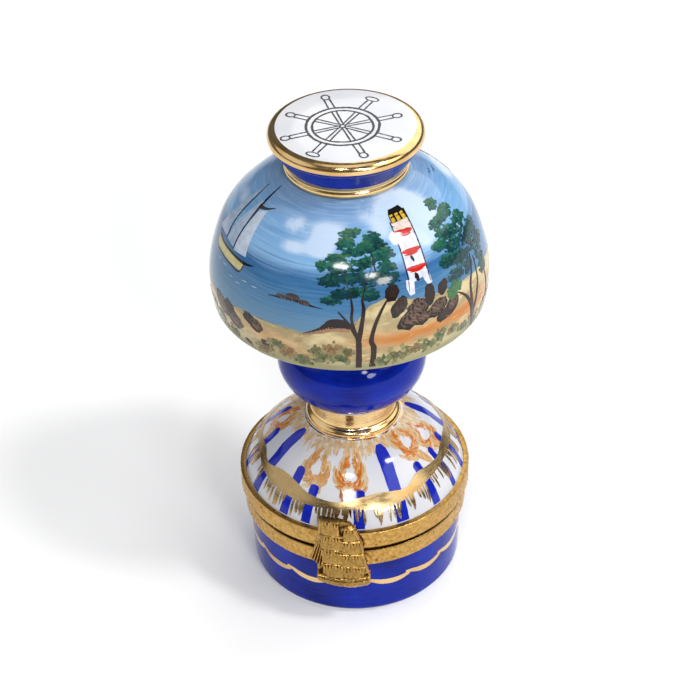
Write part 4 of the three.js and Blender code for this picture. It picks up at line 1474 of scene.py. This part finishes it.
def wheel_drawing():
    """A ship's wheel in black line: a double rim, paired spokes and eight round-ended handles."""
    paint = Paint(Flat(DISC_Z), lift=0.015, rise=0.00005)
    ink = rgb(30, 30, 40)
    source = random.Random(5)

    def at(radius, degrees, side=0.0):
        a = math.radians(degrees)
        return (WHEEL["x"] + radius * math.sin(a) + side * math.cos(a),
                WHEEL["y"] + radius * math.cos(a) - side * math.sin(a))

    def circle(radius, width, wobble=0.06):
        run = [at(radius + source.uniform(-wobble, wobble), 15 * k) for k in range(24)]
        paint.stroke([*run, run[0]], [width], ink, steps=144, wobble=0.2)

    circle(WHEEL["rim"], 0.5)
    circle(WHEEL["inner"], 0.44)
    circle(WHEEL["hub"], 0.3, 0.02)
    for k in range(8):
        degrees = WHEEL["turn"] + 45 * k + source.uniform(-3, 3)
        tip = WHEEL["tip"] + source.uniform(-0.5, 0.3)
        half = WHEEL["handle"] / 2
        for side in (-half, half):
            handle = [at(WHEEL["rim"], degrees, side), at(tip - 1.2, degrees, side * 0.9)]
            spoke = [at(WHEEL["hub"], degrees, side * 0.5), at(WHEEL["inner"], degrees, side * 0.75)]
            paint.stroke(handle, [0.36, 0.3, 0.4], ink, steps=10, wobble=0.15)
            paint.stroke(spoke, [0.28, 0.36, 0.3], ink, steps=10, wobble=0.15)
        wide, long = (1.25, 0.62) if k in (0, 4) else (0.72, 0.85)
        knob = [at(tip - 0.4 + long * math.cos(t), degrees, wide * math.sin(t))
                for t in np.linspace(0, 2 * math.pi, 13)]
        paint.stroke(knob, [0.36, 0.3, 0.4], ink, steps=40, wobble=0.15)
    paint.piece("wheel_drawing", "lid", "white_glaze", INK)


# ---- floor, light and camera ----


def aim(thing, target):
    thing.rotation_euler = (Vector(target) - thing.location).to_track_quat("-Z", "Y").to_euler()


def direction(azimuth, elevation):
    """A unit vector from the lamp; azimuth counts as the angles round the lamp do."""
    a, e = math.radians(azimuth), math.radians(elevation)
    return Vector((math.sin(a) * math.cos(e), -math.cos(a) * math.cos(e), math.sin(e)))


def floor():
    half = 3.0
    mesh = bpy.data.meshes.new("floor")
    corners = [(-half, -half, 0), (half, -half, 0), (half, half, 0), (-half, half, 0)]
    mesh.from_pydata(corners, [], [(0, 1, 2, 3)])
    n = Nodes("floor_white")
    mesh.materials.append(n.finish((0.99, 0.99, 0.99), 0.6, specular=0.2))
    piece = bpy.data.objects.new("floor", mesh)
    bpy.context.scene.collection.objects.link(piece)


def softbox(name, azimuth, elevation, wide, high, radiance):
    """An oval light two metres away, its width and height in degrees as seen from the lamp."""
    distance = 2.0
    data = bpy.data.lights.new(name, "AREA")
    data.shape = "ELLIPSE"
    data.size = 2 * distance * math.tan(math.radians(wide / 2))
    data.size_y = 2 * distance * math.tan(math.radians(high / 2))
    data.energy = radiance * math.pi * data.size * data.size_y * math.pi / 4
    light = bpy.data.objects.new(name, data)
    centre = Vector((0, 0, 0.06))
    light.location = centre + direction(azimuth, elevation) * distance
    bpy.context.scene.collection.objects.link(light)
    aim(light, centre)


def lights():
    softbox("lamp_front", -2, 47, 11, 6, 38)
    softbox("lamp_front_right", 27, 33, 8, 7, 34)
    softbox("lamp_right_high", 74, 54, 9, 9, 46)
    softbox("lamp_right_low", 36, 22, 13, 10, 20)
    softbox("wall_left", -80, 33, 66, 46, 0.75)
    softbox("window_right", 74, 38, 40, 34, 2.4)
    softbox("window_back", 148, 38, 74, 38, 1.7)
    softbox("overhead", 0, 88, 42, 42, 0.9)
    world = bpy.data.worlds.new("studio")
    world.use_nodes = True
    background = world.node_tree.nodes["Background"]
    background.inputs["Color"].default_value = (0.92, 0.95, 1.0, 1)
    background.inputs["Strength"].default_value = 0.14
    bpy.context.scene.world = world


CAMERA = {"azimuth": 7.0, "elevation": 37.55, "distance": 0.35599, "aim_z": 0.05029, "lens": 94.32,
          "roll": 1.5226, "shift_x": -0.00237}


def camera():
    data = bpy.data.cameras.new("camera")
    data.sensor_width = 36
    data.lens = CAMERA["lens"]
    data.shift_x = CAMERA["shift_x"]
    data.clip_start = 0.01
    back = direction(CAMERA["azimuth"], CAMERA["elevation"])
    right = Vector((0, 0, 1)).cross(back).normalized()
    up = back.cross(right)
    roll = math.radians(CAMERA["roll"])
    tilted_right = right * math.cos(roll) - up * math.sin(roll)
    tilted_up = up * math.cos(roll) + right * math.sin(roll)
    place = Vector((0, 0, CAMERA["aim_z"])) + back * CAMERA["distance"]
    eye = bpy.data.objects.new("camera", data)
    turn = Matrix((tilted_right, tilted_up, back)).transposed().to_4x4()
    eye.matrix_world = Matrix.Translation(place) @ turn
    bpy.context.scene.collection.objects.link(eye)
    bpy.context.scene.camera = eye


camera()
floor()
lights()
bowl()
shoulder()
globe()
stem()
shade()
cap()
lower_rim()
upper_rim()
dress_hinge()
ship()
gilt_neck()
bowl_line()
garland()
shoulder_painting()
shade_painting()
wheel_drawing()

bpy.context.scene.view_settings.view_transform = "Standard"
